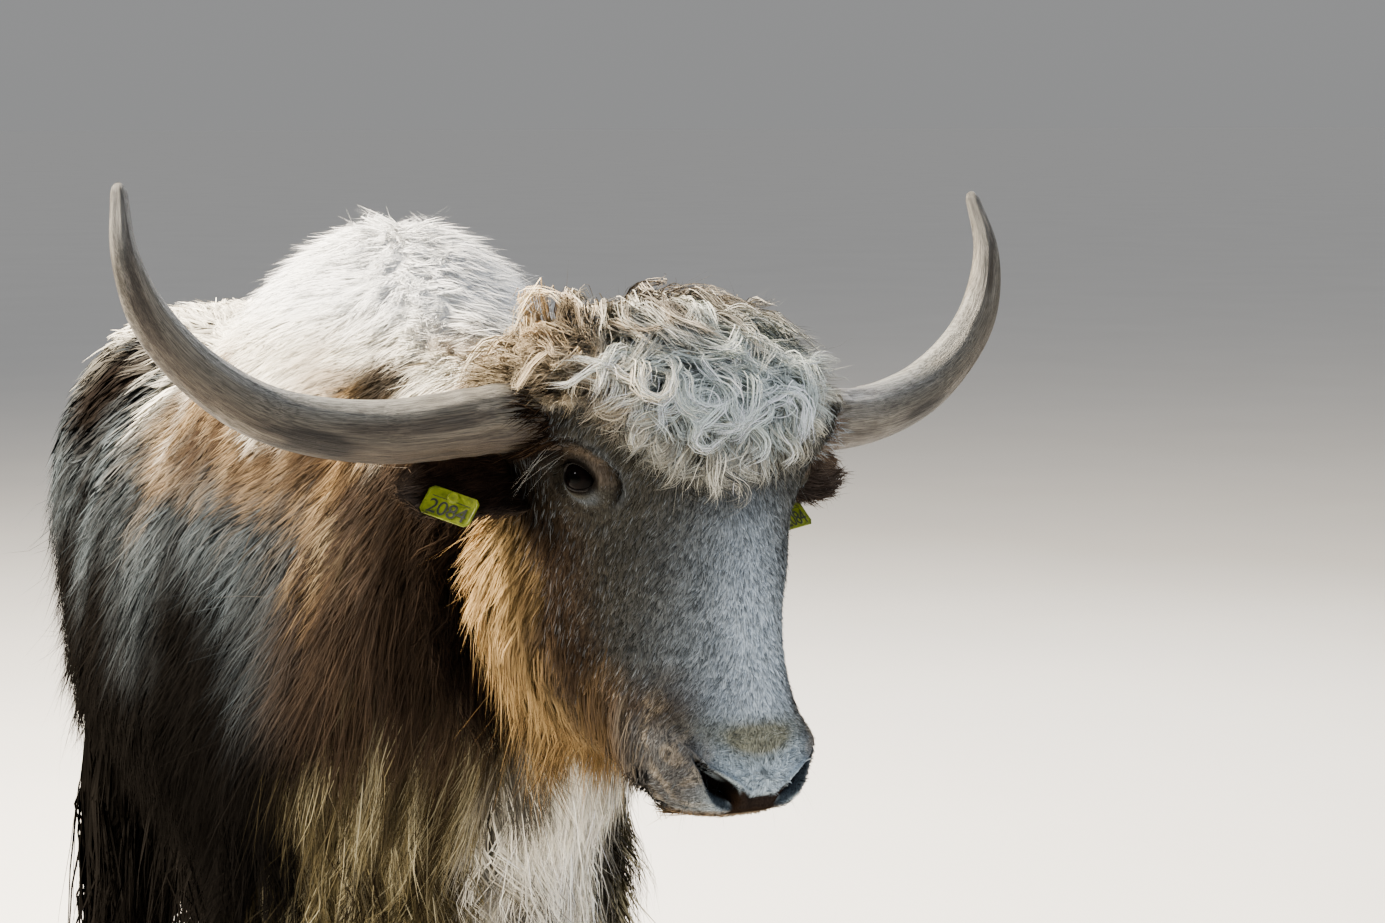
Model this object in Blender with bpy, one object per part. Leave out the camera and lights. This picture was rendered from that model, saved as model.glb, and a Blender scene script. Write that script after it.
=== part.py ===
"""A long-coated domestic yak bull, standing square with its head turned to its left.

Every node is one closed solid, out to the tips of the coat. Metres, +Z up, the nose points to -Y,
+X is the animal's left and the hooves stand on z = 0.
"""

import math

import bmesh
import bpy
import numpy as np
from mathutils import Matrix, Vector

# ---------------------------------------------------------------- driving sizes (metres)
CUT = 0.00045                    # the thin cut between two neighbours
FLOOR_SHIFT = (-0.0624, 0.1274)   # puts the origin under the middle of the whole animal

# body, from the rump to the back of the head: top (y, z), hem (y, z), middle x, height of the widest
# line as a share, half-width, hem half-width, crown roundness, turn to the animal's left in degrees
BODY_STATIONS = (
    (0.885, 1.040, 0.885, 0.660, 0.000, 0.56, 0.120, 0.095, 2.20, 0.0),
    (0.845, 1.130, 0.845, 0.540, 0.000, 0.58, 0.195, 0.155, 2.30, 0.0),
    (0.780, 1.190, 0.780, 0.460, 0.000, 0.60, 0.242, 0.205, 2.40, 0.0),
    (0.650, 1.222, 0.650, 0.410, 0.000, 0.60, 0.276, 0.238, 2.50, 0.0),
    (0.450, 1.215, 0.450, 0.375, 0.000, 0.57, 0.300, 0.258, 2.50, 0.0),
    (0.200, 1.200, 0.200, 0.345, 0.000, 0.55, 0.317, 0.268, 2.40, 0.0),
    (-0.050, 1.215, -0.050, 0.335, 0.000, 0.53, 0.328, 0.275, 2.20, 0.0),
    (-0.200, 1.270, -0.200, 0.335, 0.000, 0.50, 0.324, 0.270, 1.95, 0.0),
    (-0.330, 1.345, -0.340, 0.340, 0.000, 0.47, 0.314, 0.262, 1.85, 0.0),
    (-0.450, 1.380, -0.480, 0.350, 0.000, 0.46, 0.300, 0.250, 1.85, 0.0),
    (-0.570, 1.345, -0.630, 0.390, 0.000, 0.45, 0.272, 0.218, 1.90, 0.0),
    (-0.680, 1.290, -0.750, 0.440, 0.000, 0.44, 0.240, 0.184, 2.00, 2.0),
    (-0.780, 1.262, -0.835, 0.540, 0.004, 0.44, 0.208, 0.152, 2.10, 4.0),
    (-0.870, 1.258, -0.905, 0.670, 0.020, 0.45, 0.178, 0.124, 2.20, 8.0),
    (-0.950, 1.262, -0.975, 0.800, 0.042, 0.48, 0.146, 0.100, 2.20, 12.0),
    (-1.030, 1.250, -1.035, 0.940, 0.070, 0.50, 0.108, 0.080, 2.20, 15.0),
    (-1.085, 1.230, -1.080, 1.010, 0.087, 0.50, 0.080, 0.065, 2.20, 17.0),
)
RUMP_END = (0.0, 0.902, 0.86)
NECK_STARTS = 10                 # the station where the neck leaves the trunk
TRUNK_RINGS, NECK_RINGS = 20, 8
SHOULDER_SWELL, THIGH_SWELL, FLANK_HOLLOW = 0.018, 0.012, 0.014
BODY_ROUND = 28

# head: the middle between the eyes, and how the head is turned, nodded and tipped (degrees)
EYE_MIDDLE = (0.115, -1.200, 1.153)
HEAD_YAW, HEAD_NOD, HEAD_ROLL = 17.60, -3.13, 1.39
# head slices, in the head's own frame: up, front, widest, back, half-width, front and back roundness
HEAD_STATIONS = (
    (0.170, -0.012, 0.066, 0.130, 0.100, 2.0, 2.0),
    (0.150, -0.042, 0.068, 0.170, 0.150, 2.1, 2.0),
    (0.120, -0.062, 0.070, 0.195, 0.180, 2.2, 2.2),
    (0.085, -0.076, 0.070, 0.205, 0.184, 2.3, 2.2),
    (0.045, -0.084, 0.068, 0.208, 0.165, 2.3, 2.2),
    (0.000, -0.078, 0.066, 0.210, 0.139, 2.2, 2.2),
    (-0.045, -0.082, 0.120, 0.255, 0.135, 1.85, 2.2),
    (-0.100, -0.087, 0.140, 0.280, 0.133, 1.8, 2.2),
    (-0.150, -0.092, 0.135, 0.282, 0.124, 1.8, 2.2),
    (-0.195, -0.098, 0.090, 0.262, 0.110, 1.95, 2.2),
    (-0.225, -0.102, 0.030, 0.215, 0.094, 2.3, 2.1),
    (-0.250, -0.106, -0.010, 0.125, 0.087, 2.7, 2.1),
    (-0.275, -0.108, -0.030, 0.035, 0.081, 2.7, 2.1),
    (-0.295, -0.102, -0.038, 0.000, 0.071, 2.5, 2.1),
    (-0.308, -0.088, -0.042, -0.012, 0.056, 2.2, 2.0),
)
HEAD_ENDS = ((0.0, 0.066, 0.180), (0.0, -0.045, -0.315))
HEAD_LEVELS = ((0.170, 0.062, 6), (0.046, -0.048, 8), (-0.068, -0.200, 7), (-0.218, -0.308, 7))
HEAD_ROUND = 32

EYE_RADIUS = 0.019
EYE_CENTRE = (0.1130, 0.0020, 0.0)

# horns: points their middle lines run through, in the head's frame; the real pair isn't quite alike
HORN_LEFT = (
    (0.128, 0.022, 0.046), (0.169, 0.041, 0.043), (0.281, 0.101, 0.044), (0.375, 0.133, 0.065),
    (0.433, 0.139, 0.105), (0.466, 0.141, 0.153), (0.484, 0.153, 0.211), (0.488, 0.181, 0.268),
)
HORN_RIGHT = (
    (-0.128, 0.022, 0.059), (-0.183, 0.046, 0.056), (-0.276, 0.098, 0.045), (-0.365, 0.131, 0.060),
    (-0.432, 0.138, 0.097), (-0.482, 0.141, 0.149), (-0.501, 0.152, 0.206), (-0.493, 0.181, 0.268),
)
HORN_RADII = (0.0320, 0.0308, 0.0290, 0.0260, 0.0222, 0.0185, 0.0118, 0.0062)
HORN_RINGS = 15
HORN_ROUND = 12

# ear: base, tip (head frame, left), breadth, cup depth, thickness
EAR_BASE = (0.098, 0.095, 0.000)
EAR_TIP = (0.257, 0.112, -0.012)
EAR_FACES = (0.30, -0.88, 0.34)
EAR_HALF_BREADTH = 0.037
EAR_CUP = 0.016
EAR_HALF_THICKNESS = 0.0075

# ear tags: middle (head frame) and the plate's turn, tilt and lean in degrees; each hangs its own way
TAG_WIDTH, TAG_HEIGHT, TAG_THICKNESS, TAG_CLIP = 0.050, 0.031, 0.0016, 0.004
TAG_LEFT = ((0.172, 0.080, -0.050), (18.0, -36.0, -6.0))
TAG_RIGHT = ((-0.216, 0.082, -0.0245), (-35.0, -35.0, 22.9))
TAG_STUD_RADIUS = 0.0045
TAG_STUD_DROP = -0.009           # the stud sits this far below the plate's top-to-bottom middle

# legs: height, middle x, middle y, half-breadth, half-depth
FRONT_LEG = (
    (0.500, 0.150, -0.520, 0.072, 0.092),
    (0.440, 0.152, -0.530, 0.072, 0.084),
    (0.360, 0.152, -0.540, 0.062, 0.068),
    (0.310, 0.152, -0.545, 0.058, 0.062),
    (0.250, 0.152, -0.540, 0.048, 0.052),
    (0.180, 0.152, -0.538, 0.043, 0.047),
    (0.125, 0.152, -0.540, 0.049, 0.054),
    (0.090, 0.152, -0.550, 0.045, 0.049),
    (0.062, 0.152, -0.560, 0.048, 0.054),
)
HIND_LEG = (
    (0.600, 0.145, 0.640, 0.068, 0.110),
    (0.520, 0.146, 0.675, 0.066, 0.098),
    (0.440, 0.148, 0.710, 0.059, 0.078),
    (0.370, 0.148, 0.712, 0.051, 0.062),
    (0.280, 0.148, 0.698, 0.044, 0.051),
    (0.190, 0.148, 0.684, 0.042, 0.047),
    (0.130, 0.148, 0.674, 0.049, 0.054),
    (0.092, 0.148, 0.662, 0.045, 0.049),
    (0.062, 0.148, 0.650, 0.048, 0.054),
)
LEG_STEPS = {"front_left": -0.035, "front_right": 0.020, "hind_left": 0.025, "hind_right": -0.035}
LEG_RINGS = 10
LEG_ROUND = 12

HOOF_HEIGHT = 0.0615
HOOF_CLEFT = 0.009
HOOF_ROUND = 14
DEWCLAW_RADIUS = 0.011

# tail: middle y, height, half-breadth, half-depth
TAIL_STATIONS = (
    (0.840, 1.100, 0.040, 0.030),
    (0.905, 1.085, 0.044, 0.036),
    (0.955, 1.010, 0.055, 0.046),
    (0.975, 0.900, 0.075, 0.062),
    (0.985, 0.770, 0.095, 0.078),
    (0.988, 0.640, 0.104, 0.084),
    (0.985, 0.510, 0.092, 0.074),
    (0.978, 0.400, 0.062, 0.052),
    (0.972, 0.330, 0.026, 0.024),
)
TAIL_RINGS = 12
TAIL_ROUND = 12

# ---------------------------------------------------------------- materials
MATERIALS = {
    "coat_cream": (0.80, 0.75, 0.66),
    "coat_brown": (0.30, 0.22, 0.16),
    "coat_taupe": (0.42, 0.36, 0.31),
    "coat_dark": (0.10, 0.075, 0.06),
    "horn_keratin": (0.33, 0.29, 0.25),
    "hoof_keratin": (0.07, 0.06, 0.055),
    "eye_wet": (0.015, 0.012, 0.010),
    "tag_plastic": (0.72, 0.78, 0.10),
}


# ---------------------------------------------------------------- small helpers
def smooth(xs, ys, x):
    """A smooth curve through the stations (xs, ys), read at x."""
    xs = np.asarray(xs, float)
    ys = np.asarray(ys, float)
    if xs[0] > xs[-1]:
        xs, ys = xs[::-1], ys[::-1]
    slope = np.gradient(ys, xs)
    i = np.clip(np.searchsorted(xs, x) - 1, 0, len(xs) - 2)
    h = xs[i + 1] - xs[i]
    t = np.clip((x - xs[i]) / h, 0.0, 1.0)
    rise = h * (slope[i] * t * (1 - t) ** 2 + slope[i + 1] * t * t * (t - 1))
    return ys[i] * (1 + 2 * t) * (1 - t) ** 2 + ys[i + 1] * t * t * (3 - 2 * t) + rise


def columns(stations, x):
    """Every column of a station table after the first, read smoothly at x of the first."""
    table = np.array(stations)
    return [smooth(table[:, 0], table[:, k], x) for k in range(1, table.shape[1])]


def round_power(value, roundness):
    """The superellipse's signed power: roundness 2 is a plain ellipse, more is squarer."""
    return np.sign(value) * np.abs(value) ** (2.0 / roundness)


def bell(x, width):
    return np.exp(-(x / width) ** 2)


def ease(edge0, edge1, x):
    t = np.clip((x - edge0) / (edge1 - edge0), 0.0, 1.0)
    return t * t * (3 - 2 * t)


def head_matrix():
    turn = Matrix.Rotation(math.radians(HEAD_YAW), 4, "Z")
    nod = Matrix.Rotation(math.radians(HEAD_NOD), 4, "X")
    roll = Matrix.Rotation(math.radians(HEAD_ROLL), 4, "Y")
    return Matrix.Translation(EYE_MIDDLE) @ turn @ nod @ roll


def from_head(points):
    """Points of the head's own frame (left, back, up) carried to the animal's place."""
    place = np.array(head_matrix())
    return np.asarray(points) @ place[:3, :3].T + place[:3, 3]


def new_object(name, verts, faces):
    mesh = bpy.data.meshes.new(name)
    mesh.from_pydata([tuple(v) for v in verts], [], faces)
    tidy_mesh(mesh)
    obj = bpy.data.objects.new(name, mesh)
    bpy.context.scene.collection.objects.link(obj)
    return obj


def tidy_mesh(mesh):
    bm = bmesh.new()
    bm.from_mesh(mesh)
    bmesh.ops.remove_doubles(bm, verts=bm.verts, dist=0.00005)
    bmesh.ops.dissolve_degenerate(bm, edges=bm.edges, dist=0.00003)
    bmesh.ops.triangulate(bm, faces=[f for f in bm.faces if len(f.verts) > 3])
    bmesh.ops.recalc_face_normals(bm, faces=bm.faces)
    for face in bm.faces:
        face.smooth = True
    bm.to_mesh(mesh)
    bm.free()


def tube(name, rings, first, last):
    """A closed body from a stack of rings, with a pole point closing each end."""
    count, around = rings.shape[:2]
    verts = np.vstack([rings.reshape(-1, 3), [first], [last]])
    faces = []
    for i in range(count - 1):
        for j in range(around):
            k = (j + 1) % around
            faces.append((i * around + j, i * around + k, (i + 1) * around + k, (i + 1) * around + j))
    top, bottom = count * around, count * around + 1
    for j in range(around):
        k = (j + 1) % around
        faces.append((top, k, j))
        faces.append((bottom, (count - 1) * around + j, (count - 1) * around + k))
    return new_object(name, verts, faces)


def swollen(obj, amount=CUT):
    """A copy of a body grown by the thin cut, to clear its neighbour with."""
    mesh = obj.data.copy()
    grown = bpy.data.objects.new(obj.name + "_grown", mesh)
    bpy.context.scene.collection.objects.link(grown)
    moves = [v.normal.copy() for v in mesh.vertices]
    for vertex, normal in zip(mesh.vertices, moves):
        vertex.co += normal * amount
    return grown


def combine(obj, other, operation):
    """Cut or join with the exact solver, keep the result and drop the other body."""
    other.hide_render = True
    other.display_type = "WIRE"
    step = obj.modifiers.new("step", "BOOLEAN")
    step.solver = "EXACT"
    step.operation = operation
    step.object = other
    graph = bpy.context.evaluated_depsgraph_get()
    mesh = bpy.data.meshes.new_from_object(obj.evaluated_get(graph))
    obj.modifiers.clear()
    obj.data = mesh
    bpy.data.objects.remove(other)
    tidy_mesh(obj.data)
    return obj


def clear_of(obj, neighbour):
    return combine(obj, swollen(neighbour), "DIFFERENCE")


def paint(obj, slot):
    material = bpy.data.materials.new(f"{slot}_{obj.name}")
    material.use_nodes = True
    shader = material.node_tree.nodes["Principled BSDF"]
    shader.inputs["Base Color"].default_value = (*MATERIALS[slot], 1.0)
    shader.inputs["Roughness"].default_value = 0.15 if slot == "eye_wet" else 0.7
    obj.data.materials.clear()
    obj.data.materials.append(material)


# ---------------------------------------------------------------- trunk and neck
def body_ring(step):
    """One slice of the coat's outline; every point of it lies in one leaning plane."""
    table = np.array(BODY_STATIONS)
    read = [smooth(range(len(table)), table[:, k], step) for k in range(table.shape[1])]
    top_y, top_z, hem_y, hem_z, middle, share, half, hem_half, crown, turn = read
    angles = np.linspace(0, 2 * np.pi, BODY_ROUND, endpoint=False)
    c, s = np.cos(angles), np.sin(angles)
    # above the widest line a round back, below it a skirt that hangs nearly straight
    high = share + (1 - share) * round_power(s, crown)
    low = share + share * round_power(s, 3.2)
    across = np.where(s >= 0, round_power(c, crown), round_power(c, 3.2) * (
        1 - (1 - hem_half / half) * np.clip(1 - low / share, 0, 1)))
    height = np.where(s >= 0, high, low)[:, None]
    side = np.array((math.cos(math.radians(turn)), math.sin(math.radians(turn)), 0.0))
    top, hem = np.array((middle, top_y, top_z)), np.array((middle, hem_y, hem_z))
    ring = hem + (top - hem) * height
    swell = SHOULDER_SWELL * bell(ring[:, 1] + 0.42, 0.15) * bell(ring[:, 2] - 0.84, 0.22)
    swell += THIGH_SWELL * bell(ring[:, 1] - 0.64, 0.15) * bell(ring[:, 2] - 0.84, 0.24)
    swell -= FLANK_HOLLOW * bell(ring[:, 1] - 0.30, 0.15) * bell(ring[:, 2] - 0.98, 0.16)
    return ring + side * (half * across + swell * across)[:, None]


def ring_normal(ring):
    normal = np.cross(ring[0] - ring.mean(0), ring[BODY_ROUND // 4] - ring.mean(0))
    return normal / np.linalg.norm(normal)


def make_trunk():
    steps = np.linspace(0, NECK_STARTS, TRUNK_RINGS)
    rings = np.array([body_ring(step) for step in steps])
    return tube("trunk", rings, RUMP_END, rings[-1].mean(0))


def make_neck():
    steps = np.linspace(NECK_STARTS, len(BODY_STATIONS) - 1, NECK_RINGS)
    rings = np.array([body_ring(step) for step in steps])
    away = ring_normal(rings[0])
    away = away if away[1] < 0 else -away
    rings[0] += away * CUT
    return tube("neck", rings, rings[0].mean(0), rings[-1].mean(0))


# ---------------------------------------------------------------- head
def head_relief(x, y, up, front_side):
    """How far the bones and the hair masses lift the head's plain slices, outwards."""
    ax = np.abs(x)
    front = ease(0.0, 0.5, front_side)
    # the brow over the eye, the hollow the eye looks out of, and the cheekbone below it
    lift = 0.010 * bell(up - 0.038, 0.020) * bell(ax - 0.112, 0.040) * bell(y + 0.010, 0.045)
    lift -= 0.013 * bell(up + 0.001, 0.024) * bell(ax - 0.130, 0.040) * bell(y - 0.002, 0.030)
    lift += 0.006 * bell(up + 0.070, 0.045) * bell(ax - 0.090, 0.030) * bell(y + 0.030, 0.050)
    # the forelock hangs over the forehead as a thick fringe, longest in the middle
    fringe = ease(-0.006, 0.022, up - 0.55 * np.maximum(ax - 0.045, 0.0)) * (1 - ease(0.100, 0.170, up))
    lift += 0.014 * fringe * front * (1 - 0.6 * ease(0.10, 0.15, ax))
    # the alar wings swell beside the nose
    lift += 0.006 * bell(up + 0.245, 0.020) * bell(ax - 0.070, 0.024) * front
    return lift


def head_ring(up, angles):
    front, widest, back, half, front_round, back_round = columns(HEAD_STATIONS, up)
    c, s = np.cos(angles), np.sin(angles)
    facing = c >= 0
    around = np.where(facing, front_round, back_round)
    x = half * round_power(s, around)
    y = np.where(facing, widest + (front - widest) * round_power(c, around),
                 widest + (widest - back) * round_power(c, around))
    normal = np.stack([s / half, np.where(facing, c / (front - widest), c / (widest - back))], 1)
    normal /= np.linalg.norm(normal, axis=1)[:, None]
    lift = head_relief(x, y, up, c)
    return np.stack([x + lift * normal[:, 0], y + lift * normal[:, 1], np.full_like(x, up)], 1)


def make_head():
    angles = np.linspace(0, 2 * np.pi, HEAD_ROUND, endpoint=False)
    levels = np.concatenate([np.linspace(*group) for group in HEAD_LEVELS])
    rings = from_head(np.array([head_ring(up, angles) for up in levels]))
    ends = from_head(HEAD_ENDS)
    return tube("head", rings, ends[0], ends[1])


def ball(name, centre, radii, turn=None, segments=12, rings=8):
    """An ellipsoid given in the head's frame."""
    bm = bmesh.new()
    bmesh.ops.create_uvsphere(bm, u_segments=segments, v_segments=rings, radius=1.0)
    shape = Matrix.Diagonal((*radii, 1.0))
    if turn is not None:
        shape = turn.to_4x4() @ shape
    bmesh.ops.transform(bm, matrix=head_matrix() @ Matrix.Translation(centre) @ shape, verts=bm.verts)
    mesh = bpy.data.meshes.new(name)
    bm.to_mesh(mesh)
    bm.free()
    tidy_mesh(mesh)
    obj = bpy.data.objects.new(name, mesh)
    bpy.context.scene.collection.objects.link(obj)
    return obj


def make_eye(name, side):
    x, y, up = EYE_CENTRE
    return ball(name, (side * x, y, up), (EYE_RADIUS,) * 3)


def carve_nostrils(head):
    """Each nostril is a slot that runs down and inwards beside the nose pad."""
    for side in (1, -1):
        slot = ball("nostril", (side * 0.0430, -0.098, -0.2760), (0.0085, 0.022, 0.027),
                    Matrix.Rotation(math.radians(side * 45), 3, "Y"))
        combine(head, slot, "DIFFERENCE")


def carve_mouth(head):
    """The lips' line, cut in from each side under the muzzle."""
    for side in (1, -1):
        slit = ball("mouth", (side * 0.074, -0.040, -0.2930), (0.015, 0.042, 0.0022))
        combine(head, slit, "DIFFERENCE")


def make_horn(name, path):
    marks = np.linspace(0, 1, len(path))
    t = np.linspace(0, 1, HORN_RINGS)
    middle = np.stack([smooth(marks, np.array(path)[:, k], t) for k in range(3)], 1)
    tangent = np.gradient(middle, axis=0)
    tangent /= np.linalg.norm(tangent, axis=1)[:, None]
    radii = smooth(marks, HORN_RADII, t)
    angles = np.linspace(0, 2 * np.pi, HORN_ROUND, endpoint=False)
    rings = []
    for point, along, radius in zip(middle, tangent, radii):
        across = np.cross(along, (0.0, 1.0, 0.0))
        across /= np.linalg.norm(across)
        other = np.cross(along, across)
        rings.append(point + radius * (np.cos(angles)[:, None] * across + np.sin(angles)[:, None] * other))
    tip = middle[-1] + tangent[-1] * HORN_RADII[-1] * 0.8
    return tube(name, from_head(rings), from_head([middle[0]])[0], from_head([tip])[0])


def make_ear(name, side):
    """A cupped leaf: each ring is a bent lens, opening forwards and down."""
    base, tip = np.array(EAR_BASE), np.array(EAR_TIP)
    along = tip - base
    length = np.linalg.norm(along)
    along /= length
    facing = np.array(EAR_FACES)
    facing -= facing @ along * along
    facing /= np.linalg.norm(facing)
    breadth = np.cross(facing, along)
    angles = np.linspace(0, 2 * np.pi, 14, endpoint=False)
    rings = []
    for t in np.linspace(0.0, 1.0, 11):
        outline = 0.55 + 0.45 * math.sin(math.pi * min(1.0, t * 1.15 + 0.12)) if t < 0.55 else 1.0
        outline *= math.sqrt(max(0.0, 1 - max(0.0, (t - 0.55) / 0.47) ** 2.2))
        wide = EAR_HALF_BREADTH * outline
        thick = EAR_HALF_THICKNESS * (0.55 + 0.45 * (1 - t)) * min(1.0, outline * 2)
        u, v = np.cos(angles), np.sin(angles)
        bend = EAR_CUP * outline * (u ** 2 - 0.5)
        rings.append(base + along * t * length + breadth * (wide * u)[:, None]
                     + facing * (thick * v + bend)[:, None])
    rings = np.array(rings)
    first = rings[0].mean(0)
    last = rings[-1].mean(0) + along * 0.002
    flip = np.array((side, 1, 1))
    return tube(name, from_head(rings * flip), from_head([first * flip])[0], from_head([last * flip])[0])


# ---------------------------------------------------------------- legs, hooves and tail
def make_leg(name, stations, side, stride):
    table = np.array(stations)
    angles = np.linspace(0, 2 * np.pi, LEG_ROUND, endpoint=False)
    rings = []
    for z in np.linspace(table[0, 0], table[-1, 0], LEG_RINGS):
        x, y, breadth, depth = columns(stations, z)
        y += stride * ease(table[0, 0], table[-1, 0], z)
        ring = np.stack([side * x + breadth * round_power(np.cos(angles), 2.2),
                         y + depth * round_power(np.sin(angles), 2.2), np.full(LEG_ROUND, z)], 1)
        rings.append(ring)
    return tube(name, np.array(rings), rings[0].mean(0), rings[-1].mean(0))


def make_hoof(name, x, y, side):
    """Two claws joined under the coronet; the cleft is cut in from the toe, the sole and the heel."""
    angles = np.linspace(0, 2 * np.pi, HOOF_ROUND, endpoint=False)
    c, s = round_power(np.cos(angles), 2.5), round_power(np.sin(angles), 2.5)
    rings = []
    for z, breadth, toe, heel in ((HOOF_HEIGHT, 0.047, 0.053, 0.050), (0.045, 0.053, 0.064, 0.052),
                                  (0.020, 0.059, 0.078, 0.055), (0.004, 0.061, 0.086, 0.056),
                                  (0.0, 0.058, 0.083, 0.053)):
        reach = np.where(s < 0, toe, heel)
        rings.append(np.stack([side * x + breadth * c, y + reach * s, np.full(HOOF_ROUND, z)], 1))
    rings = np.array(rings)
    hoof = tube(name, rings, rings[0].mean(0), rings[-1].mean(0))
    return combine(hoof, cleft(side * x, y), "DIFFERENCE")


def cleft(x, y):
    half, toe_half, top = HOOF_CLEFT / 2, HOOF_CLEFT, HOOF_HEIGHT - 0.014
    outline = ((-toe_half, -0.12), (toe_half, -0.12), (half, 0.0), (half, 0.08), (-half, 0.08), (-half, 0.0))
    verts = [(x + u, y + v, z) for z in (-0.01, top) for u, v in outline]
    count = len(outline)
    faces = [tuple(range(count)), tuple(range(count, 2 * count))]
    faces += [(k, (k + 1) % count, (k + 1) % count + count, k + count) for k in range(count)]
    return new_object("cleft", verts, faces)


def make_dewclaw(name, x, y, z):
    """A small blunt cone at the back of the fetlock."""
    angles = np.linspace(0, 2 * np.pi, 7, endpoint=False)
    rings = []
    for reach, share in ((-0.018, 1.0), (0.008, 0.85)):
        ring = np.stack([x + DEWCLAW_RADIUS * share * np.cos(angles), np.full(7, y + reach),
                         z - 0.5 * reach + DEWCLAW_RADIUS * share * np.sin(angles)], 1)
        rings.append(ring)
    rings = np.array(rings)
    return tube(name, rings, rings[0].mean(0), rings[-1].mean(0) + (0, 0.006, -0.003))


def make_tail():
    table = np.array(TAIL_STATIONS)
    steps = np.linspace(0, len(table) - 1, TAIL_RINGS)
    middle = np.array([(0.0, smooth(range(len(table)), table[:, 0], s),
                        smooth(range(len(table)), table[:, 1], s)) for s in steps])
    along = np.gradient(middle, axis=0)
    along /= np.linalg.norm(along, axis=1)[:, None]
    angles = np.linspace(0, 2 * np.pi, TAIL_ROUND, endpoint=False)
    rings = []
    for point, direction, step in zip(middle, along, steps):
        breadth = smooth(range(len(table)), table[:, 2], step)
        depth = smooth(range(len(table)), table[:, 3], step)
        side = np.array((1.0, 0.0, 0.0))
        behind = np.cross(side, direction)
        rings.append(point + side * (breadth * np.cos(angles))[:, None]
                     + behind * (depth * np.sin(angles))[:, None])
    return tube("tail", np.array(rings), middle[0] - along[0] * 0.01, middle[-1] + along[-1] * 0.012)


# ---------------------------------------------------------------- ear tags
def tag_matrix(side):
    middle, (turn, tilt, lean) = TAG_LEFT if side > 0 else TAG_RIGHT
    spin = (Matrix.Rotation(math.radians(turn), 4, "Z") @ Matrix.Rotation(math.radians(tilt), 4, "X")
            @ Matrix.Rotation(math.radians(lean), 4, "Y"))
    return head_matrix() @ Matrix.Translation(middle) @ spin


def make_tag(name, side):
    """A thin plate with clipped corners, held by a round stud that runs into the ear."""
    w, h, t = TAG_WIDTH / 2, TAG_HEIGHT / 2, TAG_THICKNESS / 2
    clip = TAG_CLIP
    outline = ((-w + clip, -h), (w - clip, -h), (w, -h + clip), (w, h - clip), (w - clip, h),
               (-w + clip, h), (-w, h - clip), (-w, -h + clip))
    place = tag_matrix(side)
    verts = [place @ Vector((u, y, v)) for y in (-t, t) for u, v in outline]
    count = len(outline)
    faces = [tuple(range(count)), tuple(range(count, 2 * count))]
    faces += [(k, (k + 1) % count, (k + 1) % count + count, k + count) for k in range(count)]
    tag = new_object(name, verts, faces)
    start = place @ Vector((0.0, -0.0035, -TAG_STUD_DROP))
    middle = TAG_LEFT[0] if side > 0 else TAG_RIGHT[0]
    end = head_matrix() @ Vector((middle[0] * 0.97, 0.118, -0.013))
    return combine(tag, rod("stud", start, end, TAG_STUD_RADIUS), "UNION")


def rod(name, start, end, radius, around=10):
    axis = (end - start).normalized()
    across = axis.orthogonal().normalized()
    other = axis.cross(across)
    angles = np.linspace(0, 2 * np.pi, around, endpoint=False)
    rings = np.array([[point + radius * (math.cos(a) * across + math.sin(a) * other) for a in angles]
                      for point in (start, end)])
    return tube(name, rings, rings[0].mean(0), rings[-1].mean(0))


# ---------------------------------------------------------------- assembly
def build():
    trunk = make_trunk()
    head = make_head()
    neck = clear_of(make_neck(), head)
    slots = {trunk: "coat_brown", head: "coat_taupe", neck: "coat_brown"}

    tail = clear_of(make_tail(), trunk)
    slots[tail] = "coat_brown"

    for label, side in (("left", 1), ("right", -1)):
        eye = make_eye(f"eye_{label}", side)
        combine(head, swollen(eye), "DIFFERENCE")
        slots[eye] = "eye_wet"
    carve_nostrils(head)
    carve_mouth(head)

    for label, side, path in (("left", 1, HORN_LEFT), ("right", -1, HORN_RIGHT)):
        horn = clear_of(make_horn(f"horn_{label}", path), head)
        slots[horn] = "horn_keratin"
        ear = clear_of(make_ear(f"ear_{label}", side), head)
        clear_of(ear, horn)
        tag = make_tag(f"ear_tag_{label}", side)
        clear_of(ear, tag)
        slots[ear] = "coat_dark"
        slots[tag] = "tag_plastic"

    for place, stations in (("front", FRONT_LEG), ("hind", HIND_LEG)):
        for label, side in (("left", 1), ("right", -1)):
            stride = LEG_STEPS[f"{place}_{label}"]
            leg = clear_of(make_leg(f"leg_{place}_{label}", stations, side, stride), trunk)
            if place == "front":
                clear_of(leg, neck)
            x, y = stations[-1][1], stations[-1][2] + stride
            hoof = make_hoof(f"hoof_{place}_{label}", x, y, side)
            slots[leg] = "coat_cream" if place == "front" else "coat_brown"
            slots[hoof] = "hoof_keratin"
            fetlock = stations[-3]
            for half, shift in (("inner", -0.024), ("outer", 0.024)):
                claw = make_dewclaw(f"dewclaw_{place}_{label}_{half}", side * (x + shift),
                                    fetlock[2] + stride + fetlock[4] * 0.86, 0.108)
                clear_of(claw, leg)
                slots[claw] = "hoof_keratin"

    for obj, slot in slots.items():
        obj.data.transform(Matrix.Translation((*FLOOR_SHIFT, 0.0)))
        paint(obj, slot)


for old in list(bpy.data.objects):
    bpy.data.objects.remove(old)
build()
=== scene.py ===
"""The looks of a long-coated yak bull, life size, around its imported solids.

One skin stands for all the flesh. Over it lies a coat of mesh locks, thin blades that lie along the
body and gather into points. Horns, eyes, hooves and ear tags are pieces of their own. Metres, +Z up,
the body faces -Y and +X is its left. The head has a frame of its own: x left, y back, z up, with its
origin in the middle between the eyes.
"""

import math
from functools import partial

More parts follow.
